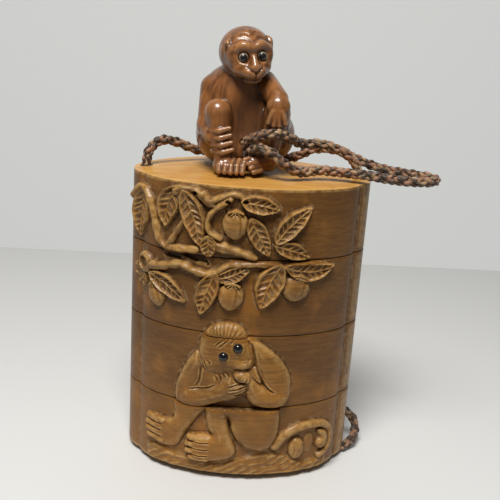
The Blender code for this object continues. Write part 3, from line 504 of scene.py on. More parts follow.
class Carving:
    """Heights of the carving, gathered piece by piece on unrolled places (s, z)."""

    def __init__(self, s, z):
        self.shape = s.shape
        self.s = s.ravel()
        self.z = z.ravel()
        self.flat = np.zeros(self.s.size)

    @property
    def height(self):
        return self.flat.reshape(self.shape)

    def near(self, points, margin):
        """Which places lie in the box round some points."""
        p = np.array(points, float)
        low, high = p.min(axis=0) - margin, p.max(axis=0) + margin
        return np.flatnonzero((self.s > low[0]) & (self.s < high[0])
                              & (self.z > low[1]) & (self.z < high[1]))

    def add(self, here, height, blend=0.12):
        self.flat[here] = smooth_max(self.flat[here], height, blend)

    def along(self, here, start, end):
        """Share of the way from start to end, distance to the left of it, and its length."""
        start, end = np.array(start, float), np.array(end, float)
        span = np.hypot(*(end - start))
        ex, ez = (end - start) / span
        ds, dz = self.s[here] - start[0], self.z[here] - start[1]
        return (ds * ex + dz * ez) / span, dz * ex - ds * ez, span

    def oval(self, here, centre, wide, tall, turn):
        """Places in the axes of an oval, and how far inside it they lie."""
        c, sn = np.cos(turn), np.sin(turn)
        ds, dz = self.s[here] - centre[0], self.z[here] - centre[1]
        a, b = ds * c + dz * sn, dz * c - ds * sn
        return a, b, np.clip(1 - (a / wide) ** 2 - (b / tall) ** 2, 0, 1)

    def path(self, here, points):
        """Distance to a line of points, the side, the length run and the share of it."""
        best = np.full(len(here), 1e9)
        side = np.zeros(len(here))
        run = np.zeros(len(here))
        done = 0.0
        for start, end in zip(points[:-1], points[1:]):
            share, across, span = self.along(here, start, end)
            inner = np.clip(share, 0, 1)
            away = np.hypot((share - inner) * span, across)
            closer = away < best
            best = np.where(closer, away, best)
            side = np.where(closer, np.sign(across) * away, side)
            run = np.where(closer, done + inner * span, run)
            done += span
        return best, side, run, run / done

    def leaf(self, base, tip, width, lift=1.5, bend=0.0, veins=1.75, drop=0.3, dish=0.5):
        """A pointed leaf: rolled margin, sunk middle rib and pillows between the veins."""
        here = self.near((base, tip), width)
        share, across, span = self.along(here, base, tip)
        inner = np.clip(share, 0, 1)
        across = across - bend * 4 * inner * (1 - inner)
        waves = 1 + 0.025 * np.sin(inner * span * 1.6 + 3 * span)
        half = width / 2 * np.sin(np.pi * inner ** LEAF_FULLNESS) ** 0.72 * waves
        half = np.where((share > 0) & (share < 1), half, 0)
        side = np.clip(np.abs(across) / np.maximum(half, 0.05), 0, 1)
        edge = ease((half - np.abs(across)) / 0.45) ** 0.7
        rib = bell(across, 0.24) * ease(share * 7) * ease((1 - share) * 9)
        row = (inner * span - 0.75 * np.abs(across) + 0.3 * np.sign(across)) / veins
        row = row + 0.16 * np.sin(1.7 * row + 5 * span + np.sign(across))
        vein = np.clip(1 - 1.25 * np.abs(np.sin(np.pi * row)), 0, 1) ** 0.7
        field = ease((0.86 - side) / 0.3) * ease(inner * 6) * ease((1 - inner) * 7)
        margin = 0.44 * bell(side - 0.84, 0.22) * ease((1 - inner) * 12)
        top = lift * (1 - drop * inner) + margin
        uneven = 0.85 + 0.15 * np.sin(2.1 * row + 3 * width)
        top = top - (dish + 0.08) * field * uneven + field * np.maximum(0.38 * vein, 0.42 * rib)
        self.add(here, np.where(half > 0, edge * top, -1), 0.06)

    def branch(self, points, radius, lift=0.6, end_radius=None, bark=0.14, blend=0.18):
        """A round stem along a smooth line, with long bark furrows and slight knobs."""
        end_radius = radius if end_radius is None else end_radius
        line = flow(points)
        here = self.near(line, 3.2)
        away, side, run, share = self.path(here, line)
        knobs = 1 + bark * (0.6 * np.sin(run * 1.9 + radius * 40) + 0.5 * np.sin(run * 0.83))
        thick = (radius + (end_radius - radius) * share) * knobs
        full = np.clip(1 - (away / thick) ** 2, 0, 1)
        furrow = bark * ripple(side * 5.0, run * 0.55, 11) * ease(full * 2.5)
        top = np.sqrt(full) * (thick * 0.75 + lift) + furrow
        self.add(here, np.where(full > 0, top, -1), blend)

    def dome(self, centre, wide, tall, rise, turn=0.0, blend=0.25, power=0.5):
        """A rounded swelling on an oval."""
        here = self.near((centre,), max(wide, tall) + 0.5)
        full = self.oval(here, centre, wide, tall, turn)[2]
        self.add(here, np.where(full > 0, rise * full ** power, -1), blend)

    def peach(self, centre, wide, tall, rise, turn=0.0):
        """A round fruit, fuller above and pointed below, with a crease and a calyx."""
        here = self.near((centre,), max(wide, tall) + 1.0)
        a, b, full = self.oval(here, centre, wide, tall, turn)
        taper = 1 - 0.24 * np.clip(-b / tall, -0.25, 1) ** 2 * np.sign(-b)
        full = np.clip(1 - (a / (wide * taper)) ** 2 - (b / tall) ** 2, 0, 1)
        bow = a - 0.42 * wide * np.sqrt(np.clip(1 - (b / tall) ** 2, 0, 1))
        crease = 0.07 * bell(bow, 0.35) * ease(full * 2)
        notch = 0.5 * bell(a, 0.8) * bell(b - tall, 0.9)
        self.add(here, np.where(full > 0, rise * full ** 0.42 - crease - notch, -1), 0.06)
        c, sn = np.cos(turn), np.sin(turn)
        for spread in (-1.1, -0.55, 0.0, 0.55, 1.1):
            reach = wide * 0.62 * np.sin(spread), tall * (0.98 - 0.34 * np.cos(spread))
            ends = [(x * c - y * sn + centre[0], x * sn + y * c + centre[1])
                    for x, y in ((0.0, tall * 1.02), reach)]
            self.limb(*ends, 0.42, 0.26, rise * 0.8, rise * 0.92, 0.1)

    def limb(self, start, end, radius, end_radius, rise, end_rise, blend):
        """A tapering bar that lies on the wall, such as a toe or a lobe of a calyx."""
        here = self.near((start, end), max(radius, end_radius) + 0.5)
        share, across, span = self.along(here, start, end)
        inner = np.clip(share, 0, 1)
        away = np.hypot((share - inner) * span, across)
        thick = radius + (end_radius - radius) * inner
        top = rise + (end_rise - rise) * inner
        full = np.clip(1 - (away / thick) ** 2, 0, 1)
        self.add(here, np.where(full > 0, top * full ** LIMB_FULLNESS, -1), blend)

    def form(self, outline, rise, edge, blend=0.25, lean=(0.0, 0.0)):
        """A shape inside a closed line, level in its middle and rounded off over its edge."""
        ring = flow([outline[-1], *outline, *outline[:2]], 4)[4:4 * len(outline) + 5]
        here = self.near(ring, 0.1)
        s, z = self.s[here], self.z[here]
        inside = np.zeros(len(here), bool)
        for (s0, z0), (s1, z1) in zip(ring[:-1], ring[1:]):
            if z0 != z1:
                inside ^= ((z0 > z) != (z1 > z)) & (s < (s1 - s0) * (z - z0) / (z1 - z0) + s0)
        deep = np.clip(self.path(here, ring)[0] / (1.5 * edge), 0, 1)
        middle = ring.mean(axis=0)
        top = rise + lean[0] * (s - middle[0]) + lean[1] * (z - middle[1])
        self.add(here, np.where(inside, top * (1 - (1 - deep) ** 3) ** 0.5, -1), blend)

    def hollow(self, centre, wide, tall, depth, turn=0.0):
        """A pocket cut into the wall between raised parts."""
        here = self.near((centre,), max(wide, tall) + 0.5)
        self.flat[here] -= depth * ease(1.6 * self.oval(here, centre, wide, tall, turn)[2])

    def groove(self, points, width, depth, lip=0.0):
        """A line cut with a fine gouge, with a slight burr on both sides of it."""
        line = flow(points)
        here = self.near(line, 4 * width)
        away, side, run, share = self.path(here, line)
        fade = ease(share * 5) * ease((1 - share) * 5)
        self.flat[here] -= (depth * bell(away, width) - lip * bell(away - 2 * width, width)) * fade


# %% [markdown]
# Now the design itself, one function for each section, in the same order in which the eye
# reads it: bough and leaves over the lid and the upper tray, the monkey over the two lower
# trays.  Each leaf is given its base, tip and width, as a carver would mark them, and what
# is carved later lies over what was there.

# %% Lid and upper tray


def carve_lid(work):
    """Branches from the left wing, leaves, and a peach in their middle."""
    work.hollow((-7.4, 70.6), 3.2, 4.2, 0.9)
    work.hollow((-17.0, 66.2), 2.6, 2.0, 0.8)
    work.hollow((-20.0, 65.6), 1.4, 2.2, 0.6)
    work.hollow((-17.4, 61.6), 6.2, 1.2, 1.7)
    work.leaf((-28.9, 76.2), (-31.4, 63.2), 7.6, 1.2, bend=-0.6, veins=1.6)
    work.branch([(-34.2, 73.6), (-31.4, 76.3), (-28.2, 75.7), (-26.0, 72.0), (-24.6, 67.8),
                 (-23.4, 64.4), (-21.0, 62.9), (-17.4, 63.0), (-13.4, 63.4)], 1.15, 0.7)
    work.branch([(-21.2, 62.8), (-19.4, 65.7), (-17.6, 68.9), (-15.9, 71.3)], 0.85, 0.8)
    work.leaf((-17.6, 78.9), (-21.9, 67.8), 6.4, 1.6, bend=-1.3, veins=1.9, dish=0.7)
    work.branch([(-18.8, 77.6), (-16.9, 78.4), (-14.2, 78.2), (-11.8, 76.9), (-10.2, 75.9),
                 (-7.9, 76.9), (-5.4, 78.0), (-3.4, 77.9), (-1.8, 76.8)], 1.5, 0.7, 0.7)
    work.branch([(-12.2, 77.2), (-9.4, 74.8)], 1.5, 0.6, 0.9)
    work.branch([(-5.4, 76.9), (-9.0, 74.0), (-10.7, 71.0), (-10.1, 68.4), (-7.4, 66.9)], 0.85, 1.1)
    work.leaf((-17.0, 78.3), (-12.3, 64.2), 5.8, 2.2, bend=0.7, veins=1.8, dish=0.65)
    work.branch([(-8.6, 65.0), (-5.4, 64.5), (-2.2, 63.7), (1.2, 62.3)], 1.5, 0.6, 1.0)
    work.leaf((-10.2, 67.6), (-10.0, 61.6), 4.6, 1.9, veins=1.3)
    work.peach((-3.9, 70.6), 3.25, 3.7, 2.5)
    work.leaf((-0.4, 72.8), (4.9, 63.0), 5.2, 1.5, bend=-0.2)
    work.leaf((-3.0, 76.6), (6.8, 74.8), 4.9, 1.9, bend=0.2)
    work.leaf((5.8, 66.4), (14.6, 75.7), 5.3, 1.7, bend=0.6, drop=0.15)
    work.leaf((5.6, 66.0), (15.2, 62.7), 4.6, 1.6, bend=0.3, veins=1.9)
    for hole in ((-5.9, 76.2), (-1.7, 76.6), (-14.0, 77.6)):
        work.hollow(hole, 0.75, 0.6, 1.5)


def carve_upper(work):
    """The lower bough with its fruit, and the tuft of the seated monkey below it."""
    work.hollow((-15.0, 60.9), 7.8, 2.0, 1.9)
    for turn in (2.9, 3.5, 4.1, 4.7):
        tip = (-28.8 + 4.8 * np.cos(turn), 54.6 + 4.6 * np.sin(turn))
        work.leaf((-28.4, 54.8), tip, 2.6, 1.2, veins=0.9)
    work.peach((-23.9, 49.6), 2.6, 3.3, 1.7, turn=0.35)
    work.leaf((-26.2, 55.2), (-15.4, 48.9), 5.0, 1.7, bend=0.8, dish=0.7)
    work.branch([(-26.0, 57.2), (-22.6, 57.6), (-19.6, 58.5), (-16.5, 59.0), (-13.4, 57.9),
                 (-10.2, 57.4), (-7.8, 58.2), (-5.0, 60.2), (-0.7, 60.9), (4.0, 61.1),
                 (8.4, 60.4)], 1.25, 0.8, 0.9)
    work.dome((-28.2, 57.2), 3.0, 3.0, 2.0)
    work.hollow((-28.2, 57.3), 1.7, 1.7, 1.2)
    work.leaf((-7.8, 58.4), (-11.5, 46.4), 5.8, 1.8, bend=-0.5, veins=1.9, dish=0.6)
    work.leaf((-8.2, 56.4), (1.0, 61.2), 4.2, 1.4, bend=-0.8, veins=1.3)
    work.peach((-4.1, 52.2), 3.3, 3.8, 2.3, turn=-0.12)
    work.leaf((7.9, 61.3), (3.3, 49.3), 7.2, 1.7, bend=-0.6, veins=2.1, dish=0.6)
    work.peach((11.9, 54.9), 3.75, 3.6, 2.2, turn=-0.3)
    work.leaf((8.4, 60.6), (22.4, 60.4), 5.4, 1.7, bend=-1.3, veins=1.9)
    carve_head(work)


# %% [markdown]
# The seated monkey is drawn like a tracing: closed lines round head, arms, legs and belly.
# Each form stands level inside its line and is rounded off towards it, and a later one lies
# over the earlier, so the hands before the mouth come last.  A sculpted mesh would hide how
# it was made, while these lines can be moved one point at a time.  Fine hair, fingers and
# toes are then cut as grooves.

# %% The monkey in relief
HEAD_LINE = (
    (-9.6, 43.0), (-8.6, 44.1), (-6.8, 45.0), (-4.2, 45.5), (-1.8, 45.1), (-0.4, 44.2), (0.6, 42.8),
    (1.4, 40.0), (2.6, 36.8), (3.0, 34.4), (2.0, 33.0), (0.0, 32.8), (-2.4, 32.2), (-4.5, 31.2),
    (-6.4, 30.8), (-8.5, 31.2), (-10.3, 32.7), (-11.1, 35.3), (-11.4, 38.0), (-10.9, 41.0))
LEFT_ARM = (
    (-11.4, 37.0), (-13.3, 35.2), (-14.7, 33.0), (-16.3, 29.2), (-17.3, 26.0), (-17.4, 23.0),
    (-16.2, 20.8), (-12.0, 19.5), (-9.5, 24.0), (-10.6, 27.4), (-10.2, 31.0), (-9.4, 34.0))
LEFT_FOREARM = (
    (-16.7, 24.2), (-15.6, 20.8), (-12.0, 20.2), (-9.2, 21.2), (-7.5, 22.1), (-5.6, 23.0), (-3.0, 23.9),
    (-0.8, 24.9), (1.6, 26.8), (2.0, 29.6), (-0.6, 30.2), (-2.6, 31.4), (-4.2, 31.2), (-6.0, 29.0),
    (-8.1, 27.4), (-11.2, 26.7), (-14.4, 27.2))
RIGHT_ARM = (
    (0.6, 41.9), (4.7, 40.1), (8.3, 37.2), (10.1, 35.2), (11.8, 32.6), (12.7, 30.2), (12.9, 26.9),
    (12.4, 24.2), (10.6, 22.4), (7.8, 24.0), (6.0, 27.5), (4.7, 30.6), (3.4, 33.1), (2.2, 35.8),
    (1.4, 39.0))
RIGHT_FOREARM = (
    (12.3, 25.7), (11.5, 22.9), (9.6, 21.9), (7.5, 21.8), (5.0, 22.2), (2.7, 23.2), (1.4, 25.0),
    (0.6, 27.6), (0.6, 30.0), (2.0, 32.0), (3.4, 30.6), (4.9, 28.9), (7.1, 27.6), (10.0, 27.7))
RIGHT_HAND = (
    (2.2, 32.2), (0.8, 33.2), (-0.8, 33.3), (-2.2, 32.5), (-2.5, 31.2), (-1.5, 29.9), (0.1, 29.4),
    (2.4, 29.6))
CHEST = (
    (-11.0, 33.0), (-6.0, 33.0), (0.0, 33.4), (4.4, 34.0), (5.4, 30.0), (3.0, 25.6), (-1.0, 25.6),
    (-6.0, 25.2), (-11.6, 26.0))
FAR_LEG = (
    (-17.2, 22.6), (-17.4, 18.2), (-17.9, 16.2), (-20.5, 15.6), (-23.4, 15.9), (-24.0, 12.4),
    (-24.2, 9.2), (-23.2, 7.8), (-21.0, 7.1), (-18.0, 7.5), (-16.0, 8.6), (-14.6, 11.4),
    (-12.6, 15.2), (-10.4, 18.6), (-8.0, 22.4))
NEAR_LEG = (
    (-8.4, 23.0), (-8.7, 18.4), (-8.1, 15.2), (-7.0, 13.6), (-9.4, 13.4), (-11.4, 12.9), (-12.3, 10.6),
    (-12.4, 7.6), (-11.6, 5.3), (-9.6, 4.7), (-5.8, 5.7), (-2.2, 6.7), (-0.5, 8.4), (-0.8, 10.6),
    (-2.0, 13.4), (-2.9, 16.4), (-3.0, 19.0), (-2.2, 23.0))
RUMP = (
    (-7.8, 24.0), (-7.2, 20.4), (-4.2, 19.6), (-2.4, 17.8), (-2.0, 15.4), (-0.8, 12.8), (1.0, 10.8),
    (3.4, 9.6), (6.2, 9.2), (8.8, 10.4), (10.2, 13.4), (10.6, 17.0), (10.5, 21.0), (10.2, 24.0))
BEAN = (
    (22.1, 13.3), (23.4, 13.6), (24.9, 12.7), (25.6, 10.4), (25.0, 8.0), (23.2, 7.4), (21.8, 8.6),
    (21.9, 10.2), (22.9, 11.2), (22.3, 12.2))


def carve_head(work):
    """The monkey's head, tilted to one side, which the seam between two trays crosses."""
    work.form(HEAD_LINE, 2.5, 2.8, blend=0.3)
    work.dome((-2.6, 36.9), 4.9, 5.5, 2.85, turn=0.62, blend=0.7, power=0.3)
    work.dome((-0.2, 34.7), 3.0, 2.2, 3.25, turn=0.62, blend=0.8)
    work.dome((-8.7, 34.1), 1.25, 1.5, 2.6, turn=0.3, blend=0.25)
    here = work.near(((-11.0, 41.6), (2.0, 46.0)), 0.1)
    angle = np.arctan2(work.z[here] - 36.5, work.s[here] + 4.6)
    fringe = ease((work.z[here] - 41.7) / 0.3) * ease((work.flat[here] - 0.3) / 0.6)
    strands = np.sin(46 * angle + 1.8 * ripple(work.s[here] * 0.8, work.z[here] * 0.8, 3))
    work.flat[here] += (0.09 * strands + 0.06 * ripple(angle * 30, work.z[here], 6)) * fringe
    for eye in ((-4.8, 36.8), (-1.5, 39.3)):
        near = work.near((eye,), 2.6)
        away = np.hypot(work.s[near] - eye[0], work.z[near] - eye[1])
        work.flat[near] += 0.07 * bell(away - 1.45, 0.18)
    for line in (((-7.2, 38.9), (-6.3, 40.1), (-5.0, 41.2), (-4.2, 41.8)),
                 ((-6.4, 38.7), (-5.2, 39.9), (-4.0, 41.2), (-3.4, 41.8)),
                 ((-3.4, 40.2), (-2.7, 41.2), (-2.2, 41.8))):
        work.groove(line, 0.15, 0.24, 0.14)
    work.groove([(-9.7, 35.0), (-9.2, 33.8), (-8.6, 33.1)], 0.18, 0.4, 0.15)
    work.groove([(-8.8, 35.2), (-8.1, 34.6), (-8.1, 33.9)], 0.16, 0.4, 0.1)
    work.groove([(-2.6, 37.0), (-1.4, 36.4), (-0.7, 37.6)], 0.25, 0.14)
    work.groove([(1.5, 41.2), (2.3, 38.6), (2.9, 36.2), (3.2, 34.2)], 0.22, 0.5, 0.2)
    for nostril in ((0.4, 35.6), (1.3, 36.2)):
        work.hollow(nostril, 0.3, 0.24, 0.25, 0.6)


def carve_middle(work):
    """Head, both arms and the hands held before the mouth."""
    work.form(CHEST, 1.7, 2.0)
    work.form(LEFT_ARM, 1.9, 2.4, lean=(0.04, 0.0))
    work.form(RIGHT_ARM, 2.3, 2.6, lean=(-0.02, -0.02))
    carve_head(work)
    work.form(LEFT_FOREARM, 2.75, 2.6, lean=(0.05, 0.02))
    work.form(RIGHT_FOREARM, 2.8, 2.4, lean=(-0.03, 0.05))
    work.form(RIGHT_HAND, 3.45, 1.5, blend=0.35)
    work.groove([(-2.2, 32.2), (-2.0, 30.8), (-0.6, 29.7), (0.9, 30.3), (1.3, 31.8)], 0.18, 0.42, 0.2)
    work.groove([(-3.7, 28.3), (-1.6, 29.0), (0.4, 29.5), (1.6, 30.2)], 0.16, 0.38, 0.2)
    work.groove([(-3.6, 27.4), (-1.4, 27.9), (0.8, 28.7), (1.9, 29.0)], 0.16, 0.38, 0.2)
    work.groove([(-1.8, 26.0), (-0.2, 26.6), (1.7, 27.6)], 0.2, 0.45, 0.2)
    for i in range(4):
        work.groove([(-6.9 + 1.0 * i, 31.0 + 0.3 * i), (-6.3 + 1.0 * i, 30.2 + 0.3 * i),
                     (-6.1 + 0.9 * i, 29.0 + 0.35 * i)], 0.2, 0.24, 0.22)
    work.groove([(-2.6, 33.1), (-0.5, 33.5), (1.9, 33.3)], 0.25, 0.6)
    work.groove([(-10.4, 32.6), (-10.5, 30.6), (-10.8, 28.6), (-11.6, 26.9)], 0.2, 0.5, 0.2)
    work.groove([(-13.8, 26.2), (-11.2, 26.6), (-8.4, 27.2), (-6.2, 28.5)], 0.18, 0.35, 0.18)
    work.groove([(3.2, 34.2), (4.2, 31.6), (5.6, 28.9), (7.4, 27.2), (8.8, 26.7)], 0.2, 0.5, 0.2)
    work.groove([(2.3, 31.4), (3.4, 30.0), (5.2, 28.4)], 0.18, 0.3, 0.15)


def carve_base(work):
    """Belly, two legs with splayed toes, the tail curled round two fruits, rough ground."""
    here = work.near(((-27.0, 1.0), (27.0, 10.4)), 0.1)
    s, z = work.s[here], work.z[here]
    wave = 6.0 + 0.9 * np.sin(s / 4.3) + 0.4 * np.sin(s / 1.9 + 1) + 2.2 * bell(s - 8, 6)
    shore = ease((wave - z) / 1.4) * ease((26.5 - np.abs(s)) / 1.5)
    rough = 0.17 * ripple(s * 0.8 + z * 1.3, z * 2.6 - s * 1.1, 8) * ease((wave - z) / 0.8)
    work.add(here, (0.7 + rough) * shore)
    work.form(FAR_LEG, 1.8, 2.4, lean=(0.02, 0.01))
    for i, reach in enumerate((0.2, 0.5, 0.4, 0.0)):
        toe = 14.9 - 1.85 * i
        work.limb((-20.4, toe - 0.4), (-24.7 - reach, toe), 1.0, 0.92, 1.95, 1.7, 0.2)
    work.form(RUMP, 2.6, 3.4, lean=(0.0, 0.02))
    work.form(NEAR_LEG, 2.7, 2.4, lean=(0.0, 0.04))
    for i, reach in enumerate((0.1, 0.6, 0.5, -0.4)):
        toe = 12.2 - 1.95 * i
        tip = -12.6 - reach
        work.limb((-8.0, toe - 0.1), (tip, toe - 0.3), 1.05, 0.95, 2.4, 2.1, 0.2)
        nail = [(tip - 0.5, toe - 0.9), (tip + 0.3, toe - 0.3), (tip - 0.5, toe + 0.3)]
        work.groove(nail, 0.12, 0.18)
    for i in range(3):
        toe = 11.2 - 1.95 * i
        work.groove([(-13.0, toe - 0.15), (-10.0, toe), (-6.8, toe + 0.3)], 0.16, 0.35, 0.18)
        toe = 14.0 - 1.85 * i
        work.groove([(-25.2, toe), (-22.8, toe - 0.2), (-20.4, toe - 0.3)], 0.16, 0.3, 0.18)
    work.groove([(-3.2, 18.8), (-2.4, 15.8), (-1.2, 12.9), (0.4, 10.6)], 0.2, 0.5, 0.22)
    work.branch([(9.8, 10.6), (11.0, 12.2), (12.8, 13.8), (15.4, 15.1), (19.8, 15.6), (23.6, 14.9),
                 (26.0, 12.7), (26.5, 9.4), (25.5, 6.6), (23.2, 5.2)], 1.55, 0.6, 0.9, bark=0.0)
    work.dome((15.9, 9.0), 2.3, 3.3, 1.9)
    work.form(BEAN, 1.7, 1.5)
    work.groove([(14.6, 10.6), (15.0, 9.0), (14.8, 7.2)], 0.2, 0.15)
    work.dome((19.6, 10.0), 1.6, 3.0, 0.5, blend=0.4)


# %% [markdown]
# The back of such a case often carries the design on in a plainer hand, so two boughs with
# even leaves are enough here.  The relief function then asks which section a place belongs
# to, takes that section's carving, and lets it fade out at the wings, the rim and the foot.

# %% The hidden side


def carve_back(work):
    """Two plainer boughs on the hidden side, in the manner of the front."""
    work.branch([(-24.0, 66.0), (-17.0, 68.5), (-9.0, 67.0), (-1.0, 69.5), (7.0, 67.5), (13.0, 69.0)],
                1.3, 0.4, 0.8)
    work.branch([(-22.0, 50.0), (-14.0, 52.5), (-6.0, 51.0), (3.0, 53.5)], 1.2, 0.4, 0.8)
    for base, tip in (((-16, 68.6), (-10, 75.4)), ((-8, 67), (-14, 63.2)), ((0, 69.5), (5, 76)),
                      ((6, 67.6), (12, 63.6)), ((12, 69), (20, 72)), ((-13, 52.2), (-8, 58.6)),
                      ((-5, 51.2), (-11, 45.4)), ((2, 53.4), (10, 56.5)), ((1, 53), (7, 47.6))):
        work.leaf(base, tip, 4.6, 1.1)
    work.peach((-2.0, 65.4), 3.0, 3.2, 1.4)
    work.peach((-16.0, 48.4), 3.0, 3.2, 1.4)


def relief(s, z):
    """Height of all the carving over the plain wall at (s, z)."""
    front = np.zeros_like(s)
    for low, high, carve in ((-99, SEAM_BASE, carve_base), (SEAM_BASE, SEAM_MIDDLE, carve_middle),
                             (SEAM_MIDDLE, SEAM_UPPER, carve_upper), (SEAM_UPPER, 999, carve_lid)):
        inside = (z >= low) & (z < high)
        if inside.any():
            work = Carving(s, z)
            carve(work)
            front = np.where(inside, work.height, front)
    back = Carving(np.where(s > 0, s - GIRTH / 2, s + GIRTH / 2), z)
    carve_back(back)
    behind = np.abs(s) > FRONT_HALF
    front = front * ease((FRONT_HALF - np.abs(s)) / 4)
    below_rim = ease((CASE_TOP - 0.25 - z) / 0.7) * ease((z - FOOT_HEIGHT) / 0.6)
    return np.where(behind, back.height, front) * below_rim


print("the monkey's face stands out %.1f mm" % relief(np.array([-2.6]), np.array([36.9]))[0])

# %% [markdown]
# A section is built like the real one: a carved wall, flat joints above and below, a hollow
# with a floor, a riser that enters the piece above, and two bores for the cord.  The wall is
# a fine grid pushed out by the relief.  The hollow and the bores are Boolean cuts, which the
# MANIFOLD solver does quickly on a mesh of this size.

# %% Section builder
RISER_HEIGHT = 4.0
RISER_WALL = 1.3
FIT_CLEARANCE = 0.3
FLOOR = 2.2
BASE_FLOOR = 3.0
ROOF = 2.8
FOOT_INSET = 3.2
TRAY_END = 23.4
TRAY_FRONT = 17.6
TRAY_BACK = 18.8
TRAY_ROUNDNESS = 0.6
CHANNEL_X = 28.0
CHANNEL_SETBACK = -0.5
CORD_DIAMETER = 2.6
CORD_RADIUS = CORD_DIAMETER / 2
CHANNEL_RADIUS = CORD_RADIUS + 0.45
CARVED_FROM = -36.5
CARVED_TO = 29.5
CARVED_STEP = 0.17
PLAIN_STEP = 0.42
SEAM_WEAR = 0.09
SEAM_WEAR_REACH = 0.35
print("wall grid: %.2f mm where carved, %.2f mm behind" % (CARVED_STEP, PLAIN_STEP))


def new_object(name, verts, faces):
    """A mesh object from points in millimetres."""
    mesh = bpy.data.meshes.new(name)
    mesh.from_pydata((np.asarray(verts, float) * MM).tolist(), [], faces)
    return add_object(name, mesh)


def stacked_rings(name, rings):
    """A closed solid from rings that run counter-clockwise seen from above, low to high."""
    count = len(rings[0])
    around = np.arange(count)
    ahead = (around + 1) % count
    faces = []
    for r in range(len(rings) - 1):
        low, high = r * count, (r + 1) * count
        faces.extend(np.stack([low + around, low + ahead, high + ahead, high + around], 1).tolist())
    top = (len(rings) - 1) * count
    faces.append(list(range(count - 1, -1, -1)))
    faces.append(list(range(top, top + count)))
    return new_object(name, np.concatenate(rings), faces)


def finished_mesh(obj):
    """A plain mesh of what an object's modifiers make of it."""
    bpy.context.view_layer.update()
    return bpy.data.meshes.new_from_object(obj.evaluated_get(bpy.context.evaluated_depsgraph_get()))


def boolean(obj, other, operation):
    """Cut or join with another object and drop that object."""
    change = obj.modifiers.new(operation.lower(), "BOOLEAN")
    change.object = other
    change.operation = operation
    change.solver = "MANIFOLD"
    done = finished_mesh(obj)
    obj.modifiers.clear()
    obj.data = done
    bpy.data.objects.remove(other)


def lens_solid(name, grow, low, high, points=96):
    """A prism on the trays' inner lens, made larger all round by grow."""
    turn = np.linspace(0, 2 * np.pi, points, endpoint=False)
    c, s = np.cos(turn), np.sin(turn)
    reach = np.where(s < 0, TRAY_FRONT, TRAY_BACK) + grow
    plan = np.stack([(TRAY_END + grow) * c, np.sign(s) * reach * np.abs(s) ** TRAY_ROUNDNESS], 1)
    return stacked_rings(name, [np.column_stack([plan, np.full(points, z)]) for z in (low, high)])


def tube(name, points, radius, sides=24):
    """A closed round bar along a line of points."""
    points = [Vector(p) for p in points]
    rings = []
    side = None
    for i, point in enumerate(points):
        ahead = points[min(i + 1, len(points) - 1)] - points[max(i - 1, 0)]
        ahead.normalize()
        side = ahead.orthogonal().normalized() if side is None else side
        side = (side - ahead * side.dot(ahead)).normalized()
        up = ahead.cross(side)
        turns = np.linspace(0, 2 * np.pi, sides, endpoint=False)
        rings.append(np.array([point + (side * np.cos(t) + up * np.sin(t)) * radius for t in turns]))
    return stacked_rings(name, rings)


def section_block(name, low, high, top_rise=0.0, foot=False):
    """The carved body of one section before it is hollowed."""
    carved = np.arange(CARVED_FROM, CARVED_TO, CARVED_STEP)
    rest = np.arange(CARVED_TO, GIRTH + CARVED_FROM, PLAIN_STEP)
    s = np.concatenate([carved, rest])
    s = np.where(s > GIRTH / 2, s - GIRTH, s)
    levels = np.linspace(low, high, round((high - low) / CARVED_STEP) + 1)
    grid_s, grid_z = np.meshgrid(s, levels)
    inside_z = np.clip(grid_z, low + 1e-6, high - 1e-6)
    heights = relief(grid_s, inside_z)
    worn = sum(ease((SEAM_WEAR_REACH - away) / SEAM_WEAR_REACH)
               for away in (grid_z - low, high - grid_z))
    wall = np.moveaxis(on_surface(grid_s, grid_z, heights - SEAM_WEAR * worn), 0, -1)
    rings = list(wall)
    plan = np.stack([*outline_point(s), np.zeros_like(s)], axis=1)
    for share in (0.97, 0.9, 0.8, 0.65, 0.45, 0.25, 0.1):
        inner = (rings[-1] if share == 0.97 else plan) * (share, share, 0)
        inner[:, 2] = high + top_rise * (1 - share ** 3)
        rings.append(inner)
    if foot:
        rim = 1 - FOOT_INSET / BACK_DEPTH
        shares = ((rim, low), (rim * 0.97, 0.0), (0.6, 0.0), (0.3, 0.0))
    else:
        shares = ((0.97, low), (0.78, low), (0.4, low))
    for share, z in shares:
        inner = plan * (share, share, 0)
        inner[:, 2] = z
        rings.insert(0, inner)
    return stacked_rings(name, rings)


def hollow_out(section, socket_low, cavity_low, cavity_high):
    """Cut the socket below, the hollow above and the two bores."""
    if socket_low is not None:
        top = socket_low + RISER_HEIGHT + FIT_CLEARANCE
        grow = RISER_WALL + FIT_CLEARANCE
        boolean(section, lens_solid("socket", grow, socket_low - 1, top), "DIFFERENCE")
    boolean(section, lens_solid("hollow", 0, cavity_low, cavity_high), "DIFFERENCE")
    if not section.name.startswith("base"):
        for side in (-1, 1):
            line = [(side * CHANNEL_X, CHANNEL_SETBACK, z) for z in (-5, CASE_TOP + 5)]
            boolean(section, tube("bore", line, CHANNEL_RADIUS), "DIFFERENCE")


def make_tray(name, low, high, floor, socket):
    """A section that carries a riser, with a socket below it unless it is the lowest."""
    tray = section_block(name, low, high, foot=not socket)
    boolean(tray, lens_solid("riser", RISER_WALL, high - 1, high + RISER_HEIGHT), "UNION")
    bottom = low + RISER_HEIGHT + FIT_CLEARANCE if socket else low
    hollow_out(tray, low if socket else None, bottom + floor, high + RISER_HEIGHT + 1)
    return tray


# %% [markdown]
# The cord's way is repeated here from the frame's own solid, because a cord cannot be laid
# twice: from the toggle's lap to the right wing, down its bores, out in a small loop on the
# ground, under the foot in a groove, up the left wing, round behind the toggle and back.

# %% The way of the cord


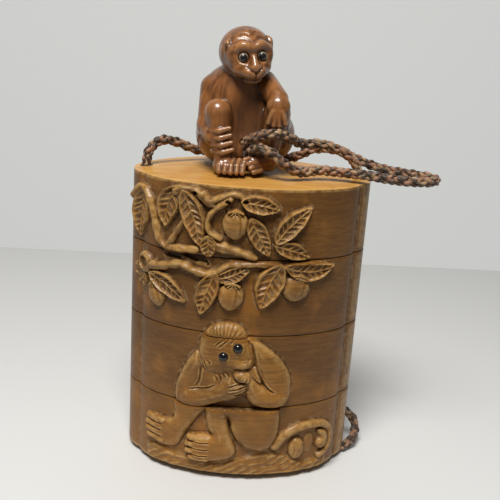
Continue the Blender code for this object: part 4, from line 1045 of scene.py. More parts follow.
def cord_guide():
    """The places that the cord passes, from one end in the toggle's lap to the other."""
    bore = CHANNEL_X
    back = CHANNEL_SETBACK
    floor = CORD_RADIUS + 0.1
    return [
        (-2.6, -7.6, 88.6), (-0.6, -10.9, 90.3), (2.8, -12.8, 91.8), (6.6, -11.6, 91.6),
        (9.6, -7.8, 90.0), (12.0, -4.0, 88.6), (17.0, -2.6, 88.6), (22.0, -1.8, 87.2),
        (26.0, -0.9, 84.6), (bore, back, 80.6), (bore, back, 70.0), (bore, back, 50.0),
        (bore, back, 30.0), (bore, back, 15.0),
        (bore + 1.6, 1.4, 11.2), (bore + 4.4, 3.4, 8.8), (bore + 6.8, 3.6, 6.2), (bore + 7.0, 0.6, 3.9),
        (bore + 5.0, -2.6, 2.2), (bore + 1.4, -4.6, floor), (bore - 3.6, -5.4, floor),
        (bore - 9.6, -5.0, floor), (11.0, -3.8, floor), (0.0, -2.2, floor), (-11.0, -0.9, floor),
        (8.0 - bore, back, floor), (3.8 - bore, back, 1.8), (1.0 - bore, back, 4.1), (-bore, back, 9.0),
        (-bore, back, 24.0), (-bore, back, 44.0), (-bore, back, 62.0), (-bore, back, 80.4),
        (-27.0, 0.2, 84.6), (-24.0, 1.8, 86.6), (-20.0, 4.4, 85.6), (-15.4, 8.4, 83.4),
        (-9.0, 12.2, 82.4), (-1.0, 12.8, 82.3), (6.0, 9.8, 82.3), (11.4, 5.4, 83.6), (16.0, 3.0, 86.4),
        (22.4, 2.6, 86.4),
        (28.4, 3.0, 84.0), (35.0, 1.8, 82.2), (41.6, 0.4, 81.6), (46.4, -2.2, 81.5), (47.0, -6.8, 81.5),
        (42.6, -9.6, 81.5), (36.0, -9.9, 81.7), (29.6, -8.9, 82.2), (22.0, -8.4, 82.6),
        (16.4, -9.4, 83.0), (11.6, -11.6, 82.6), (7.4, -13.9, 84.6), (3.6, -14.2, 87.6),
        (0.2, -12.0, 88.0), (-2.2, -9.0, 85.6),
    ]


def smooth_route(guide, step):
    """Points a step apart on a smooth curve through the guide's places."""
    fine = flow(guide, 24)
    length = np.concatenate([[0], np.cumsum(np.linalg.norm(np.diff(fine, axis=0), axis=1))])
    marks = np.linspace(0, length[-1], round(length[-1] / step) + 1)
    return np.stack([np.interp(marks, length, fine[:, k]) for k in range(3)], axis=1)


CORD_PATH = smooth_route(cord_guide(), 1.5)

# %% [markdown]
# Wear and dirt follow the shape.  Smoothing a mesh shows where it was hollow: each point
# moves out of a cut and off an edge.  That move, measured along the normal, is kept on the
# mesh as the number hollow.

# %% Measuring hollows
HOLLOW_REACH = 0.5


def read_rows(items, key, width, kind=float):
    """A property of all points or edges of a mesh, one row of numbers for each."""
    rows = np.empty(len(items) * width, dtype=kind)
    items.foreach_get(key, rows)
    return rows.reshape(-1, width)


def keep_number(mesh, name, numbers):
    """Store one number for every point of a mesh, for a material to read."""
    mark = mesh.attributes.new(name, "FLOAT", "POINT")
    mark.data.foreach_set("value", np.asarray(numbers, np.float32))


def neighbours_mean(points, ends, counts):
    """Each point's neighbours' mean place."""
    total = np.zeros_like(points)
    for k in range(3):
        total[:, k] += np.bincount(ends[:, 0], points[ends[:, 1], k], len(points))
        total[:, k] += np.bincount(ends[:, 1], points[ends[:, 0], k], len(points))
    return total / counts[:, None]


def mark_hollows(obj, spacing, rims=(), still=None):
    """Store how far each point lies below its smoothed surroundings, in millimetres.
    The mesh's spacing says how often to smooth, so a finer mesh gives the same number.
    Edges along the rims of a section and the points that are still are left out."""
    mesh = obj.data
    points = read_rows(mesh.vertices, "co", 3) / MM
    normals = read_rows(mesh.vertices, "normal", 3)
    ends = read_rows(mesh.edges, "vertices", 2, np.int32)
    counts = np.maximum(np.bincount(ends.ravel(), minlength=len(points)), 1)
    smooth = points
    for _ in range(max(1, round((HOLLOW_REACH / spacing) ** 2))):
        smooth = neighbours_mean(smooth, ends, counts)
    hollow = ((smooth - points) * normals).sum(axis=1)
    if still is not None:
        hollow[still & (np.abs(normals[:, 2]) > 0.9)] = 0
    for rim in rims:
        fade = ease((np.abs(points[:, 2] - rim) - 0.2) / 1.2)
        hollow = np.where(hollow < 0, hollow * fade, hollow)
    keep_number(mesh, "hollow", hollow)
    return hollow


def mark_lift(obj):
    """Store how far each point of the wall stands out from the plain outline."""
    points = read_rows(obj.data.vertices, "co", 3) / MM
    turn = np.arctan2(OUTLINE_Y, OUTLINE_X)
    order = np.argsort(turn)
    reach = np.hypot(OUTLINE_X, OUTLINE_Y)[order]
    here = np.interp(np.arctan2(points[:, 1], points[:, 0]), turn[order], reach)
    lift = np.hypot(points[:, 0], points[:, 1]) - here
    keep_number(obj.data, "lift", np.clip(lift, -3, 4))
    return lift


def finish_wood(obj, node, material, spacing, sharp=0.7, rims=(), still=None):
    """Shade, mark and paint one carved piece, hide its plain solid and attach it to the root."""
    hollow = mark_hollows(obj, spacing, rims, still)
    obj.data.shade_smooth()
    obj.data.set_sharp_from_angle(angle=sharp)
    obj.data.materials.clear()
    obj.data.materials.append(material)
    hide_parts(node)
    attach(obj, "root")
    obj.data.calc_loop_triangles()
    print("%s: %d triangles, hollow %.3f to %.3f mm" % (
        obj.name, len(obj.data.loop_triangles), np.percentile(hollow, 2), np.percentile(hollow, 98)))


# %% [markdown]
# Three trays and a lid are stacked with a hairline gap between them.  In the lowest the cord
# turns sideways, so it has no straight bores: its ways are cut along the cord's own path,
# and the part of the path that lies on the table is cut open from below.

# %% Carved sections
HALF_GAP = SEAM_GAP / 2


def cut_cord_ways(base):
    """The base's bores turn out to the right and under the foot along a groove."""
    low = [i for i, q in enumerate(CORD_PATH) if q[2] < SEAM_BASE]
    way = CORD_PATH[low[0] - 2:low[-1] + 3]
    split = int(np.argmax(way[:, 0]))
    first, second = way[:split + 1:2], way[split::2]
    flat = [(q[0], q[1], -0.2) for q in second if q[2] < CORD_RADIUS + 0.4]
    for name, line in (("outlet", first), ("groove", second), ("slot", flat)):
        boolean(base, tube(name, line, CHANNEL_RADIUS), "DIFFERENCE")


def carved_sections():
    """The four sections, each in the place of its plain solid from the frame."""
    base = make_tray("base_carving", FOOT_HEIGHT, SEAM_BASE - HALF_GAP, BASE_FLOOR, False)
    cut_cord_ways(base)
    middle = make_tray("middle_carving", SEAM_BASE + HALF_GAP, SEAM_MIDDLE - HALF_GAP, FLOOR, True)
    upper = make_tray("upper_carving", SEAM_MIDDLE + HALF_GAP, SEAM_UPPER - HALF_GAP, FLOOR, True)
    low = SEAM_UPPER + HALF_GAP
    lid = section_block("lid_carving", low, CASE_TOP, LID_CROWN)
    hollow_out(lid, low, low, CASE_TOP - ROOF)
    seams = [level + side for level in (SEAM_BASE, SEAM_MIDDLE, SEAM_UPPER)
             for side in (-HALF_GAP, HALF_GAP)]
    for piece, node in ((base, "base_case"), (middle, "middle_case"), (upper, "upper_case"),
                        (lid, "lid")):
        still = mark_lift(piece) < -0.5
        finish_wood(piece, node, CASE_WOOD, CARVED_STEP, rims=seams, still=still)


carved_sections()

# %% [markdown]
# The toggle is no wall with a relief but a figure in the round, so it is a sum of blended
# solids: every point of space gets its distance to the figure, and the skin is drawn where
# that distance is zero.  Creases and folds are small changes of the same distance.

# %% Blended solids


def ellipsoid(p, centre, radii):
    """An egg shape."""
    q = (p - centre) / radii
    k = np.linalg.norm(q, axis=-1)
    steep = np.linalg.norm(q / radii, axis=-1)
    return k * (k - 1) / np.maximum(steep, 1e-6)


def rod(p, start, end, radius, end_radius=None):
    """A round-ended bar whose radius changes along it."""
    end_radius = radius if end_radius is None else end_radius
    start, end = np.array(start, float), np.array(end, float)
    axis = end - start
    share = np.clip(((p - start) @ axis) / (axis @ axis), 0, 1)
    near = p - (start + share[..., None] * axis)
    return np.linalg.norm(near, axis=-1) - (radius + (end_radius - radius) * share)


def join(a, b, blend):
    """Two solids as one, with a fillet between them."""
    return -smooth_max(-a, -b, blend)


def carve_off(a, b, blend):
    """Solid a with solid b taken out of it."""
    return smooth_max(a, -b, blend)


def crease(solid, p, line, width, depth):
    """Cut a rounded line into a solid along places near its skin."""
    line = flow(line, 4)
    away = np.full(p.shape[:-1], 1e9)
    for start, end in zip(line[:-1], line[1:]):
        away = np.minimum(away, rod(p, start, end, 0.0))
    return solid + depth * bell(away, width)


HEAD_CENTRE = np.array([-3.8, -4.0, 110.2])
HEAD_YAW, HEAD_PITCH, HEAD_ROLL = 0.30, 0.06, 0.12


def head_axes():
    """Rows are the head's right, back and up directions."""
    cy, sy = np.cos(HEAD_YAW), np.sin(HEAD_YAW)
    cp, sp = np.cos(HEAD_PITCH), np.sin(HEAD_PITCH)
    cr, sr = np.cos(HEAD_ROLL), np.sin(HEAD_ROLL)
    turn = np.array([[cy, sy, 0], [-sy, cy, 0], [0, 0, 1]])
    nod = np.array([[1, 0, 0], [0, cp, sp], [0, -sp, cp]])
    tilt = np.array([[cr, 0, sr], [0, 1, 0], [-sr, 0, cr]])
    return tilt @ nod @ turn


HEAD = head_axes()
EYE_OUT, EYE_FRONT, EYE_UP = 2.35, -5.75, -0.15
TOGGLE_EYES = {"netsuke_eye_left": (-EYE_OUT, EYE_FRONT, EYE_UP),
               "netsuke_eye_right": (EYE_OUT, EYE_FRONT, EYE_UP)}
TOGGLE_EYE_RADIUS = 1.25
TOGGLE_SEAT = 81.0


def toggle_eye(name):
    """The middle of an eye, turned with the head."""
    return HEAD_CENTRE + np.array(TOGGLE_EYES[name]) @ HEAD


for name in TOGGLE_EYES:
    print("%s at %s mm" % (name, np.round(toggle_eye(name), 1)))

# %% [markdown]
# The face is worked out in the head's own axes, which are turned, nodded and tilted as one.
# A brow or an ear is then placed as on a head that looks straight ahead, and one loop makes
# both sides.  Lines that a point would scratch are drawn on the face as seen from in front.

# %% Head of the toggle


def score(solid, x, z, line, width, depth):
    """Cut a rounded line that is drawn on the face as seen from in front."""
    line = flow(line, 4)
    away = np.full(x.shape, 1e9)
    for (x0, z0), (x1, z1) in zip(line[:-1], line[1:]):
        dx, dz = x1 - x0, z1 - z0
        share = np.clip(((x - x0) * dx + (z - z0) * dz) / (dx * dx + dz * dz), 0, 1)
        away = np.minimum(away, np.hypot(x - x0 - share * dx, z - z0 - share * dz))
    return solid + depth * bell(away, width)


def toggle_head(p):
    """A round cap of hair, a face sunk into it, brows, muzzle, nose and leaf-shaped ears."""
    q = (p - HEAD_CENTRE) @ HEAD.T
    x, y, z = q[..., 0], q[..., 1], q[..., 2]
    front = ease((-1.5 - y) / 2.0)
    head = ellipsoid(q, (0, 0.2, 0.3), (6.6, 6.6, 6.2))
    notch = 0.9 * bell(x, 1.1)
    mask = np.hypot(x / 4.9, (z + 0.5 + notch) / 4.1)
    head = head - 0.2 * ease((mask - 0.94) / 0.12) * front
    for side in (-1, 1):
        head = join(head, ellipsoid(q, (side * 2.6, -4.2, -2.7), (2.5, 2.5, 2.3)), 1.2)
        head = join(head, ellipsoid(q, (side * 4.3, -3.9, 0.0), (1.5, 1.6, 2.2)), 0.9)
    head = join(head, ellipsoid(q, (0, -5.5, -3.5), (3.6, 3.1, 2.6)), 0.9)
    head = join(head, ellipsoid(q, (0, -5.0, -5.5), (2.3, 2.3, 1.3)), 0.6)
    head = join(head, rod(q, (0, -6.0, 0.8), (0, -7.9, -2.2), 0.7, 0.85), 0.9)
    head = join(head, ellipsoid(q, (0, -8.1, -2.6), (1.1, 0.6, 0.65)), 0.4)
    for side in (-1, 1):
        brow = [(side * a, b, c) for a, b, c in ((0.3, -6.2, 2.0), (2.4, -5.7, 2.6), (4.5, -4.3, 1.5))]
        line = flow(brow, 4)
        for start, end in zip(line[:-1], line[1:]):
            head = join(head, rod(q, start, end, 0.8), 0.8)
        socket = (side * EYE_OUT, -7.0, EYE_UP)
        head = carve_off(head, ellipsoid(q, socket, (1.6, 1.45, 1.35)), 0.45)
        away = np.linalg.norm(q - np.array((side * EYE_OUT, EYE_FRONT, EYE_UP)), axis=-1)
        ring = np.hypot(x - side * EYE_OUT, (z - EYE_UP) * 1.1)
        head = head - 0.12 * bell(ring - 1.6, 0.25) * ease((2.4 - away) / 0.6)
        head = toggle_ear(head, q, side)
    nostrils = [(-1.8, -2.5), (-1.0, -3.2), (0, -3.8), (1.0, -3.2), (1.8, -2.5)]
    mouth = [(-3.0, -5.0), (-1.6, -5.5), (0, -5.6), (1.6, -5.5), (3.0, -5.0)]
    face = score(head, x, z, [(0, -3.7), (0, -4.6), (0, -5.3)], 0.26, 0.42)
    face = score(face, x, z, nostrils, 0.27, 0.42)
    face = score(face, x, z, mouth, 0.27, 0.42)
    cheek = (1.5, -1.6), (2.3, -2.4), (3.7, -2.7)
    brow_line = (0.4, 3.3), (1.9, 4.1), (3.4, 3.6), (4.5, 2.3)
    forehead_line = (0.3, 4.8), (1.5, 5.2), (2.8, 4.8)
    for side in (-1, 1):
        for line, width, depth in ((cheek, 0.45, 0.16), (brow_line, 0.3, 0.15),
                                   (forehead_line, 0.3, 0.15)):
            face = score(face, x, z, [(side * a, c) for a, c in line], width, depth)
    return head + (face - head) * front


def toggle_ear(head, q, side):
    """A thin pointed ear that lies against the head, with a raised rim and a hollow inside."""
    ear = ellipsoid(q, (side * 5.45, -2.9, 1.9), (0.85, 1.3, 1.9))
    ear = join(ear, rod(q, (side * 5.3, -3.0, 2.9), (side * 4.9, -2.7, 4.0), 0.75, 0.35), 0.5)
    head = join(head, ear, 0.25)
    head = carve_off(head, ellipsoid(q, (side * 6.2, -3.7, 2.1), (0.6, 0.7, 1.4)), 0.25)
    behind = ellipsoid(q, (side * 6.1, -1.0, 1.0), (0.45, 0.9, 1.4))
    return join(head, behind, 0.3)


# %% [markdown]
# The body is a heap of egg shapes, the limbs are tapering bars, and fingers and toes are
# small ones.  The order matters: the large forms melt together with a wide fillet first,
# and the digits come last with a narrow one, so they stay crisp.

# %% Body of the toggle


def toggle_body(p):
    """Chest, belly, rump and neck, with a hollow lap."""
    body = ellipsoid(p, (-4.5, 1.5, 93.5), (10.6, 9.5, 11.5))
    body = join(body, ellipsoid(p, (-6.2, 1.0, 99.2), (8.1, 8.0, 8.2)), 2.0)
    body = join(body, ellipsoid(p, (-4.2, 1.5, 88.0), (11.0, 9.6, 7.6)), 2.0)
    body = join(body, rod(p, (-4.2, -1.5, 104.5), (-4.6, -1.0, 99.0), 5.0, 6.0), 2.0)
    body = join(body, ellipsoid(p, (4.6, -1.0, 90.0), (5.6, 6.4, 6.6)), 1.5)
    body = join(body, ellipsoid(p, (-8.4, -1.0, 90.0), (6.6, 7.0, 7.0)), 1.5)
    return carve_off(body, ellipsoid(p, (-2.4, -9.6, 94.0), (3.4, 3.4, 7.5)), 3.5)


def toggle_limbs(p):
    """Two drawn-up legs and two arms that reach over them."""
    limbs = rod(p, (-9.0, -2.0, 89.0), (-9.8, -8.6, 96.0), 4.4, 3.2)
    limbs = join(limbs, rod(p, (-9.8, -8.9, 96.0), (-7.8, -10.0, 84.8), 3.1, 2.3), 0.6)
    limbs = join(limbs, ellipsoid(p, (-6.4, -9.9, 82.8), (4.1, 3.7, 2.4)), 0.9)
    limbs = join(limbs, rod(p, (4.4, -1.5, 89.5), (5.0, -7.4, 96.4), 4.6, 3.3), 0.8)
    limbs = join(limbs, rod(p, (5.0, -7.8, 96.0), (3.2, -7.4, 85.4), 3.0, 2.5), 0.6)
    limbs = join(limbs, rod(p, (3.4, -6.8, 84.2), (-0.4, -10.0, 84.0), 2.8, 2.2), 0.7)
    limbs = join(limbs, rod(p, (-11.4, 0.0, 101.0), (-12.2, -4.6, 92.0), 3.4, 2.8), 0.7)
    limbs = join(limbs, rod(p, (-12.2, -4.6, 92.0), (-11.2, -9.4, 89.8), 2.8, 1.9), 0.8)
    limbs = join(limbs, rod(p, (1.4, -1.6, 103.0), (4.9, -7.6, 99.8), 3.3, 2.6), 0.7)
    limbs = join(limbs, ellipsoid(p, (5.0, -9.2, 98.2), (3.0, 2.2, 2.8)), 0.6)
    return limbs


def toggle_digits(p, solid):
    """Fingers over the shins and toes on the lid."""
    for i in range(4):
        z = 91.8 - 1.75 * i
        x = 0.35 * i
        joint = (x - 9.2, -12.1, z - 0.1)
        solid = join(solid, rod(p, (x - 11.7, -10.0, z - 0.2), joint, 0.7, 0.84), 0.2)
        solid = join(solid, rod(p, joint, (x - 6.7, -12.4, z + 0.8), 0.84, 0.55), 0.2)
        x = 2.7 + 1.4 * i
        reach = 93.4 + 0.5 * abs(i - 1.5)
        solid = join(solid, rod(p, (0.5 * x + 2.4, -10.6, 97.2), (x, -10.9, reach), 0.85, 0.66), 0.3)
    for i in range(5):
        x = -8.7 + 1.45 * i
        reach = -13.9 + 0.3 * abs(i - 2)
        solid = join(solid, rod(p, (x + 0.5, -11.4, 84.6), (x, reach + 0.9, 83.4), 0.72), 0.15)
        solid = join(solid, rod(p, (x, reach + 0.9, 83.4), (x - 0.1, reach, 81.9), 0.76, 0.68), 0.15)
    for i in range(4):
        root = (0.4 + 0.4 * i, -10.4 - 0.25 * i, 85.9 - 1.15 * i)
        tip = (-2.6 + 0.8 * i, -11.6 - 0.35 * i, 84.9 - 0.95 * i)
        solid = join(solid, rod(p, root, tip, 0.68, 0.6), 0.12)
    return solid


TOGGLE_LOW = (-18.0, -17.0, TOGGLE_SEAT - 1.0)
TOGGLE_HIGH = (13.0, 13.0, 118.5)
CORD_ROOM = 0.3
EYE_ROOM = 0.04
TOGGLE_CREASES = (
    ((-12.9, -6.6, 94.6), (-12.2, -8.6, 98.0), (-9.8, -9.6, 100.2), (-7.0, -9.2, 98.4)),
    ((-6.4, -10.4, 97.0), (-5.8, -10.6, 93.0), (-4.8, -10.8, 88.0)),
    ((1.2, -7.2, 101.4), (1.8, -9.4, 97.4), (2.4, -9.6, 93.0)),
    ((8.4, -6.6, 98.0), (8.2, -7.6, 94.6), (7.2, -8.2, 91.4)),
)


def toggle_distance(p):
    """Signed distance, negative inside the toggle."""
    solid = join(toggle_body(p), toggle_limbs(p), 0.6)
    for line in TOGGLE_CREASES:
        solid = crease(solid, p, line, 0.4, 0.28)
    solid = join(solid, toggle_head(p), 0.8)
    solid = toggle_digits(p, solid)
    for name in TOGGLE_EYES:
        eye = np.linalg.norm(p - toggle_eye(name), axis=-1)
        solid = np.maximum(solid, TOGGLE_EYE_RADIUS + EYE_ROOM - eye)
    x, height = CORD_PATH[:, 0], CORD_PATH[:, 2]
    for q in CORD_PATH[(height > CASE_TOP) & (x > TOGGLE_LOW[0]) & (x < TOGGLE_HIGH[0])]:
        gap = np.linalg.norm(p - q, axis=-1) - CORD_RADIUS - CORD_ROOM
        solid = carve_off(solid, gap, 0.1)
    return np.maximum(solid, TOGGLE_SEAT - p[..., 2])


print("the middle of the head lies %.1f mm under the skin"
      % -toggle_distance(HEAD_CENTRE[None, :])[0])

# %% [markdown]
# A formula has no faces, so the skin has to be found.  Space is cut into small cells, and
# wherever the distance changes sign between two corners of a cell the skin runs through it.
# One point is set at the mean of a cell's crossings, and the points of cells that touch are
# joined as quads.  Metaballs would do something like it, but with far less say over edges.

# %% Drawing the skin


def surface_nets(distance, low, high, cell):
    """The zero surface of a distance field as quads, one point for each crossed cell."""
    axes = [np.arange(a, b + cell, cell) for a, b in zip(low, high)]
    grid = np.stack(np.meshgrid(*axes, indexing="ij"), axis=-1)
    value = np.concatenate([distance(sheet) for sheet in np.array_split(grid, len(axes[0]) // 8)])
    size = np.array(value.shape) - 1
    corners = [(i, j, k) for i in (0, 1) for j in (0, 1) for k in (0, 1)]

    def corner(c):
        return value[c[0]:c[0] + size[0], c[1]:c[1] + size[1], c[2]:c[2] + size[2]]

    count = sum((corner(c) < 0).astype(int) for c in corners)
    cells = np.argwhere((count > 0) & (count < 8))
    number = np.full(size, -1)
    number[tuple(cells.T)] = np.arange(len(cells))
    total = np.zeros((len(cells), 3))
    hits = np.zeros(len(cells))
    for a in corners:
        for axis in range(3):
            if a[axis] == 1:
                continue
            b = tuple(1 if k == axis else a[k] for k in range(3))
            va, vb = corner(a)[tuple(cells.T)], corner(b)[tuple(cells.T)]
            crossed = (va < 0) != (vb < 0)
            share = np.where(crossed, va / np.where(va == vb, 1, va - vb), 0)
            total += (np.array(a, float) + share[:, None] * np.eye(3)[axis]) * crossed[:, None]
            hits += crossed
    verts = (cells + total / hits[:, None]) * cell + np.array(low)
    faces = []
    step = np.eye(3, dtype=int)
    for axis in range(3):
        u, v = (axis + 1) % 3, (axis + 2) % 3
        first = value[tuple(slice(0, -1) if k == axis else slice(1, -1) for k in range(3))] < 0
        second = value[tuple(slice(1, None) if k == axis else slice(1, -1) for k in range(3))] < 0
        for flip in (False, True):
            hit = np.argwhere((first & ~second) if not flip else (~first & second))
            hit = hit + step[u] + step[v]
            around = [hit, hit - step[u], hit - step[u] - step[v], hit - step[v]]
            quad = np.stack([number[tuple(q.T)] for q in around], axis=1)
            faces.append(quad[:, ::-1] if flip else quad)
    return verts, np.concatenate(faces).tolist()


def carved_toggle():
    """The whole toggle in wood, in the place of its plain solid."""
    cell = 0.25
    verts, faces = surface_nets(toggle_distance, TOGGLE_LOW, TOGGLE_HIGH, cell)
    toggle = new_object("toggle_carving", verts, faces)
    finish_wood(toggle, "netsuke", TOGGLE_WOOD, cell, 1.2)


carved_toggle()

# %% [markdown]
# Each eye is a small ball.  The number gaze tells how far a point of it lies from the middle
# of the pupil, so one material draws pupil and rim on all of them.

# %% Eyes
TOGGLE_GAZE = (0.12, -0.95, -0.12)
RELIEF_EYE_RADIUS = 1.3
RELIEF_EYE_SINK = 0.35
RELIEF_EYES = {"relief_eye_left": (-4.8, 36.8), "relief_eye_right": (-1.5, 39.3)}


def eyeball(node, centre, radius, gaze, material):
    """A bead that looks along gaze."""
    mesh = bpy.data.meshes.new(node + "_ball")
    shape = bmesh.new()
    bmesh.ops.create_uvsphere(shape, u_segments=40, v_segments=24, radius=radius * MM)
    bmesh.ops.translate(shape, vec=Vector(centre) * MM, verts=shape.verts)
    shape.to_mesh(mesh)
    shape.free()
    ball = add_object(node + "_ball", mesh)
    ahead = Vector(gaze).normalized()
    outward = [(vert.co / MM - Vector(centre)) / radius for vert in mesh.vertices]
    keep_number(mesh, "gaze", [ahead.dot(way) for way in outward])
    mesh.shade_smooth()
    mesh.materials.append(material)
    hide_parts(node)
    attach(ball, "root")
    print("%s: %d faces" % (ball.name, len(mesh.polygons)))


for node in TOGGLE_EYES:
    eyeball(node, toggle_eye(node), TOGGLE_EYE_RADIUS, TOGGLE_GAZE, EYE_INLAY)
for node, (eye_s, eye_z) in RELIEF_EYES.items():
    face_height = relief(np.array([eye_s]), np.array([eye_z]))[0] - RELIEF_EYE_SINK
    outward = (*outline_normal(eye_s), 0.0)
    eyeball(node, on_surface(eye_s, eye_z, face_height), RELIEF_EYE_RADIUS, outward, BLACK_GLASS)

# %% [markdown]
# The cord is an eight-strand round braid.  Four strands wind one way and four the other, and
# each passes over one and under one: its distance from the middle of the cord rises and
# falls four times in a turn, in step with the crossings.  Geometry Nodes does this for any
# path, so the same tree could plait a bell rope.

# %% The braid as a node tree
BRAID_INPUTS = (
    ("Strands", "NodeSocketInt", 8),
    ("Pitch", "NodeSocketFloat", 15.0 * MM),
    ("Core", "NodeSocketFloat", 0.62 * MM),
    ("Weave", "NodeSocketFloat", 0.32 * MM),
    ("Strand", "NodeSocketFloat", 0.50 * MM),
    ("Step", "NodeSocketFloat", 0.40 * MM),
    ("Slack", "NodeSocketFloat", 0.05 * MM),
    ("Seed", "NodeSocketInt", 4),
)


def braid_tree():
    """A tree that lays strands round a path and gives each a round section."""
    tree = bpy.data.node_groups.new("braid", "GeometryNodeTree")
    tree.interface.new_socket("Path", in_out="INPUT", socket_type="NodeSocketGeometry")
    for name, kind, number in BRAID_INPUTS:
        socket = tree.interface.new_socket(name, in_out="INPUT", socket_type=kind)
        socket.default_value = number
    tree.interface.new_socket("Silk", in_out="INPUT", socket_type="NodeSocketMaterial")
    tree.interface.new_socket("Braid", in_out="OUTPUT", socket_type="NodeSocketGeometry")
    graph = Graph(tree)
    entry = graph.node("NodeGroupInput").socket.node
    given = {socket.name: Value(graph, socket) for socket in entry.outputs if socket.name}
    path = graph.node("GeometryNodeResampleCurve", {"mode": "LENGTH"},
                      {"Curve": given["Path"], "Length": given["Step"]})
    copies = graph.node("GeometryNodeDuplicateElements", {"domain": "SPLINE"},
                        {"Geometry": path, "Amount": given["Strands"]})
    number = Value(graph, copies.socket.node.outputs["Duplicate Index"])
    length = graph.node("GeometryNodeSplineParameter", output=1)
    normal = graph.node("GeometryNodeInputNormal")
    tangent = graph.node("GeometryNodeInputTangent")
    side = graph.vector("CROSS_PRODUCT", tangent, normal)
    way = number.math("MODULO", number, 2.0) * 2.0 - 1.0
    pair = number.math("FLOOR", number / 2.0)
    turn = length / given["Pitch"] * (2 * np.pi)
    slack = graph.node("FunctionNodeRandomValue", {"data_type": "FLOAT"},
                       {2: given["Slack"] * -1.0, 3: given["Slack"], "Seed": given["Seed"]}, output=1)
    angle = way * turn + pair / given["Strands"] * (4 * np.pi)
    over = way * (turn * 4.0).wave("COSINE")
    reach = given["Core"] + given["Weave"] * over + slack
    across = graph.vector("SCALE", normal, reach * angle.wave("COSINE"), "Scale")
    along_side = graph.vector("SCALE", side, reach * angle.wave("SINE"), "Scale")
    offset = graph.vector("ADD", across, along_side)
    strands = graph.node("GeometryNodeSetPosition", None, {"Geometry": copies, "Offset": offset})
    for name, value in (("strand", number), ("along", length), ("over", over)):
        strands = store(graph, strands, name, value)
    ring = graph.node("GeometryNodeCurvePrimitiveCircle", None,
                      {"Resolution": 8, "Radius": given["Strand"]})
    ring = store(graph, ring, "around", graph.node("GeometryNodeSplineParameter", output=0))
    skin = graph.node("GeometryNodeCurveToMesh", None,
                      {"Curve": strands, "Profile Curve": ring, "Fill Caps": True})
    real = graph.node("GeometryNodeRealizeInstances", None, {"Geometry": skin})
    painted = graph.node("GeometryNodeSetMaterial", None,
                         {"Geometry": real, "Material": given["Silk"]})
    leave = tree.nodes.new("NodeGroupOutput")
    tree.links.new(painted.socket, leave.inputs["Braid"])
    return tree


def store(graph, geometry, name, value):
    """Keep a number on every point, for the material to read."""
    settings = {"data_type": "FLOAT", "domain": "POINT"}
    return graph.node("GeometryNodeStoreNamedAttribute", settings,
                      {"Geometry": geometry, "Name": name, "Value": value})


# %% [markdown]
# A modifier takes its inputs by the identifiers of the tree's sockets, so they are looked up
# by name first.  The evaluated object then gives a plain mesh, and the path with its modifier
# is thrown away: only the strands are left, and the plain cord of the frame is hidden.

# %% The cord


def path_object(name, points):
    """A curve object through points in millimetres."""
    curve = bpy.data.curves.new(name, "CURVE")
    curve.dimensions = "3D"
    spline = curve.splines.new("POLY")
    spline.points.add(len(points) - 1)
    for point, place in zip(spline.points, points):
        point.co = (*(place * MM), 1)
    return add_object(name, curve)


def run_tree(obj, tree, **values):
    """Give an object a tree, set the inputs by their sockets and return the finished mesh."""
    change = obj.modifiers.new(tree.name, "NODES")
    change.node_group = tree
    sockets = {s.name: s.identifier for s in tree.interface.items_tree if s.in_out == "INPUT"}
    for name, value in values.items():
        change[sockets[name]] = value
    mesh = finished_mesh(obj)
    bpy.data.objects.remove(obj)
    return mesh


def braided_cord():
    """The braid on its whole way, in the place of the plain cord."""
    path = path_object("cord_path", CORD_PATH)
    mesh = run_tree(path, braid_tree(), Silk=CORD_SILK)
    mesh.shade_smooth()
    cord = add_object("cord_braid", mesh)
    mesh.calc_loop_triangles()
    print("cord_braid: %d triangles" % len(mesh.loop_triangles))
    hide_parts("cord")
    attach(cord, "root")


braided_cord()

# %% [markdown]
# The case stands on a white table with a pale grey wall some way behind it.  Where the table
# ends, its edge is rounded off, which draws one soft level line across the picture.  A single
# sheet curved up behind would hide that line.  The light is one wide soft source above, in
# front and a little to the left, so the lid is bright, the front is in half shade, and every
# leaf shows a light upper edge and a dark lower one.

# %% Stage and light
TABLE_FRONT = 120.0
TABLE_EDGE = 178.0
TABLE_DROP = 30.0
EDGE_RADIUS = 3.0
WALL_TURN = np.radians(1.5)
WALL_DISTANCE = 700.0
WALL_FOOT = -900.0
WALL_TOP = 1500.0
HALF_ROOM = 1800.0


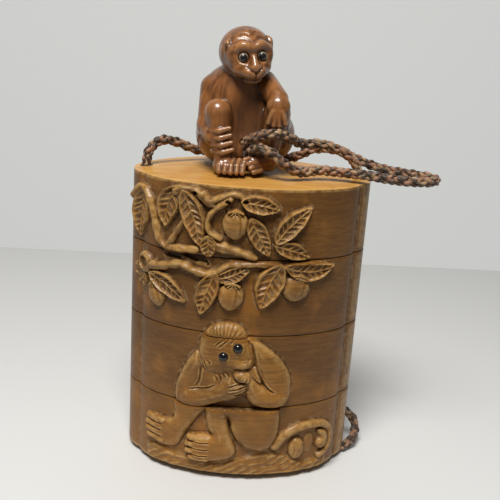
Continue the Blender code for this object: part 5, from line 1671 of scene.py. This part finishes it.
def paint(name, color, glow):
    """Plain paint.  The glow stands for the room's other lamps, which light the far wall."""
    return Finish(name, Base_Color=(*color, 1.0), Roughness=0.8, Emission_Color=(*color, 1.0),
                  Emission_Strength=glow).material


def make_stage():
    """A table whose far edge is rounded off, and a plain wall some way behind it."""
    bend = np.linspace(0, np.pi / 2, 8)
    edge_y = TABLE_EDGE + EDGE_RADIUS * (np.sin(bend) - 1)
    edge_z = EDGE_RADIUS * (np.cos(bend) - 1)
    table = [(-TABLE_FRONT, 0.0), *zip(edge_y, edge_z), (TABLE_EDGE, -TABLE_DROP)]
    wall = [(WALL_DISTANCE, WALL_FOOT), (WALL_DISTANCE, WALL_TOP)]
    for name, profile, color, glow in (("table", table, (0.70, 0.70, 0.69), 0.0),
                                       ("wall", wall, (0.70, 0.71, 0.69), 0.58)):
        verts = []
        for x in (-HALF_ROOM, HALF_ROOM):
            verts += [(x, y + x * np.tan(WALL_TURN) * (y > 0), z) for y, z in profile]
        count = len(profile)
        faces = [(i + count, i, i + 1, i + 1 + count) for i in range(count - 1)]
        sheet = new_object(name, verts, faces)
        sheet.data.flip_normals()
        sheet.data.shade_smooth()
        sheet.data.materials.append(paint(name + "_paint", color, glow))
        print("%s: %d faces" % (name, len(faces)))


def area_light(name, place, target, size, power, color):
    """A soft oval lamp that shines from its place towards a target."""
    light = bpy.data.lights.new(name, "AREA")
    light.shape = "ELLIPSE"
    light.size, light.size_y = size[0] * MM, size[1] * MM
    light.energy = power
    light.color = color
    lamp = add_object(name, light)
    lamp.location = Vector(place) * MM
    lamp.rotation_euler = (Vector(target) - Vector(place)).to_track_quat("-Z", "Y").to_euler()
    print("%s: %.2f W" % (name, power))


def make_light():
    """One broad soft light above the front, and the faint light of a pale room."""
    area_light("overhead", (-55, -215, 440), (0, 0, 30), (200, 180), 2.55, (1.0, 0.985, 0.955))
    world = bpy.data.worlds.new("room")
    bpy.context.scene.world = world
    world.use_nodes = True
    sky = world.node_tree.nodes["Background"]
    sky.inputs["Color"].default_value = (0.80, 0.80, 0.79, 1.0)
    sky.inputs["Strength"].default_value = 0.14
    bpy.context.scene.view_settings.view_transform = "Standard"


make_stage()
make_light()
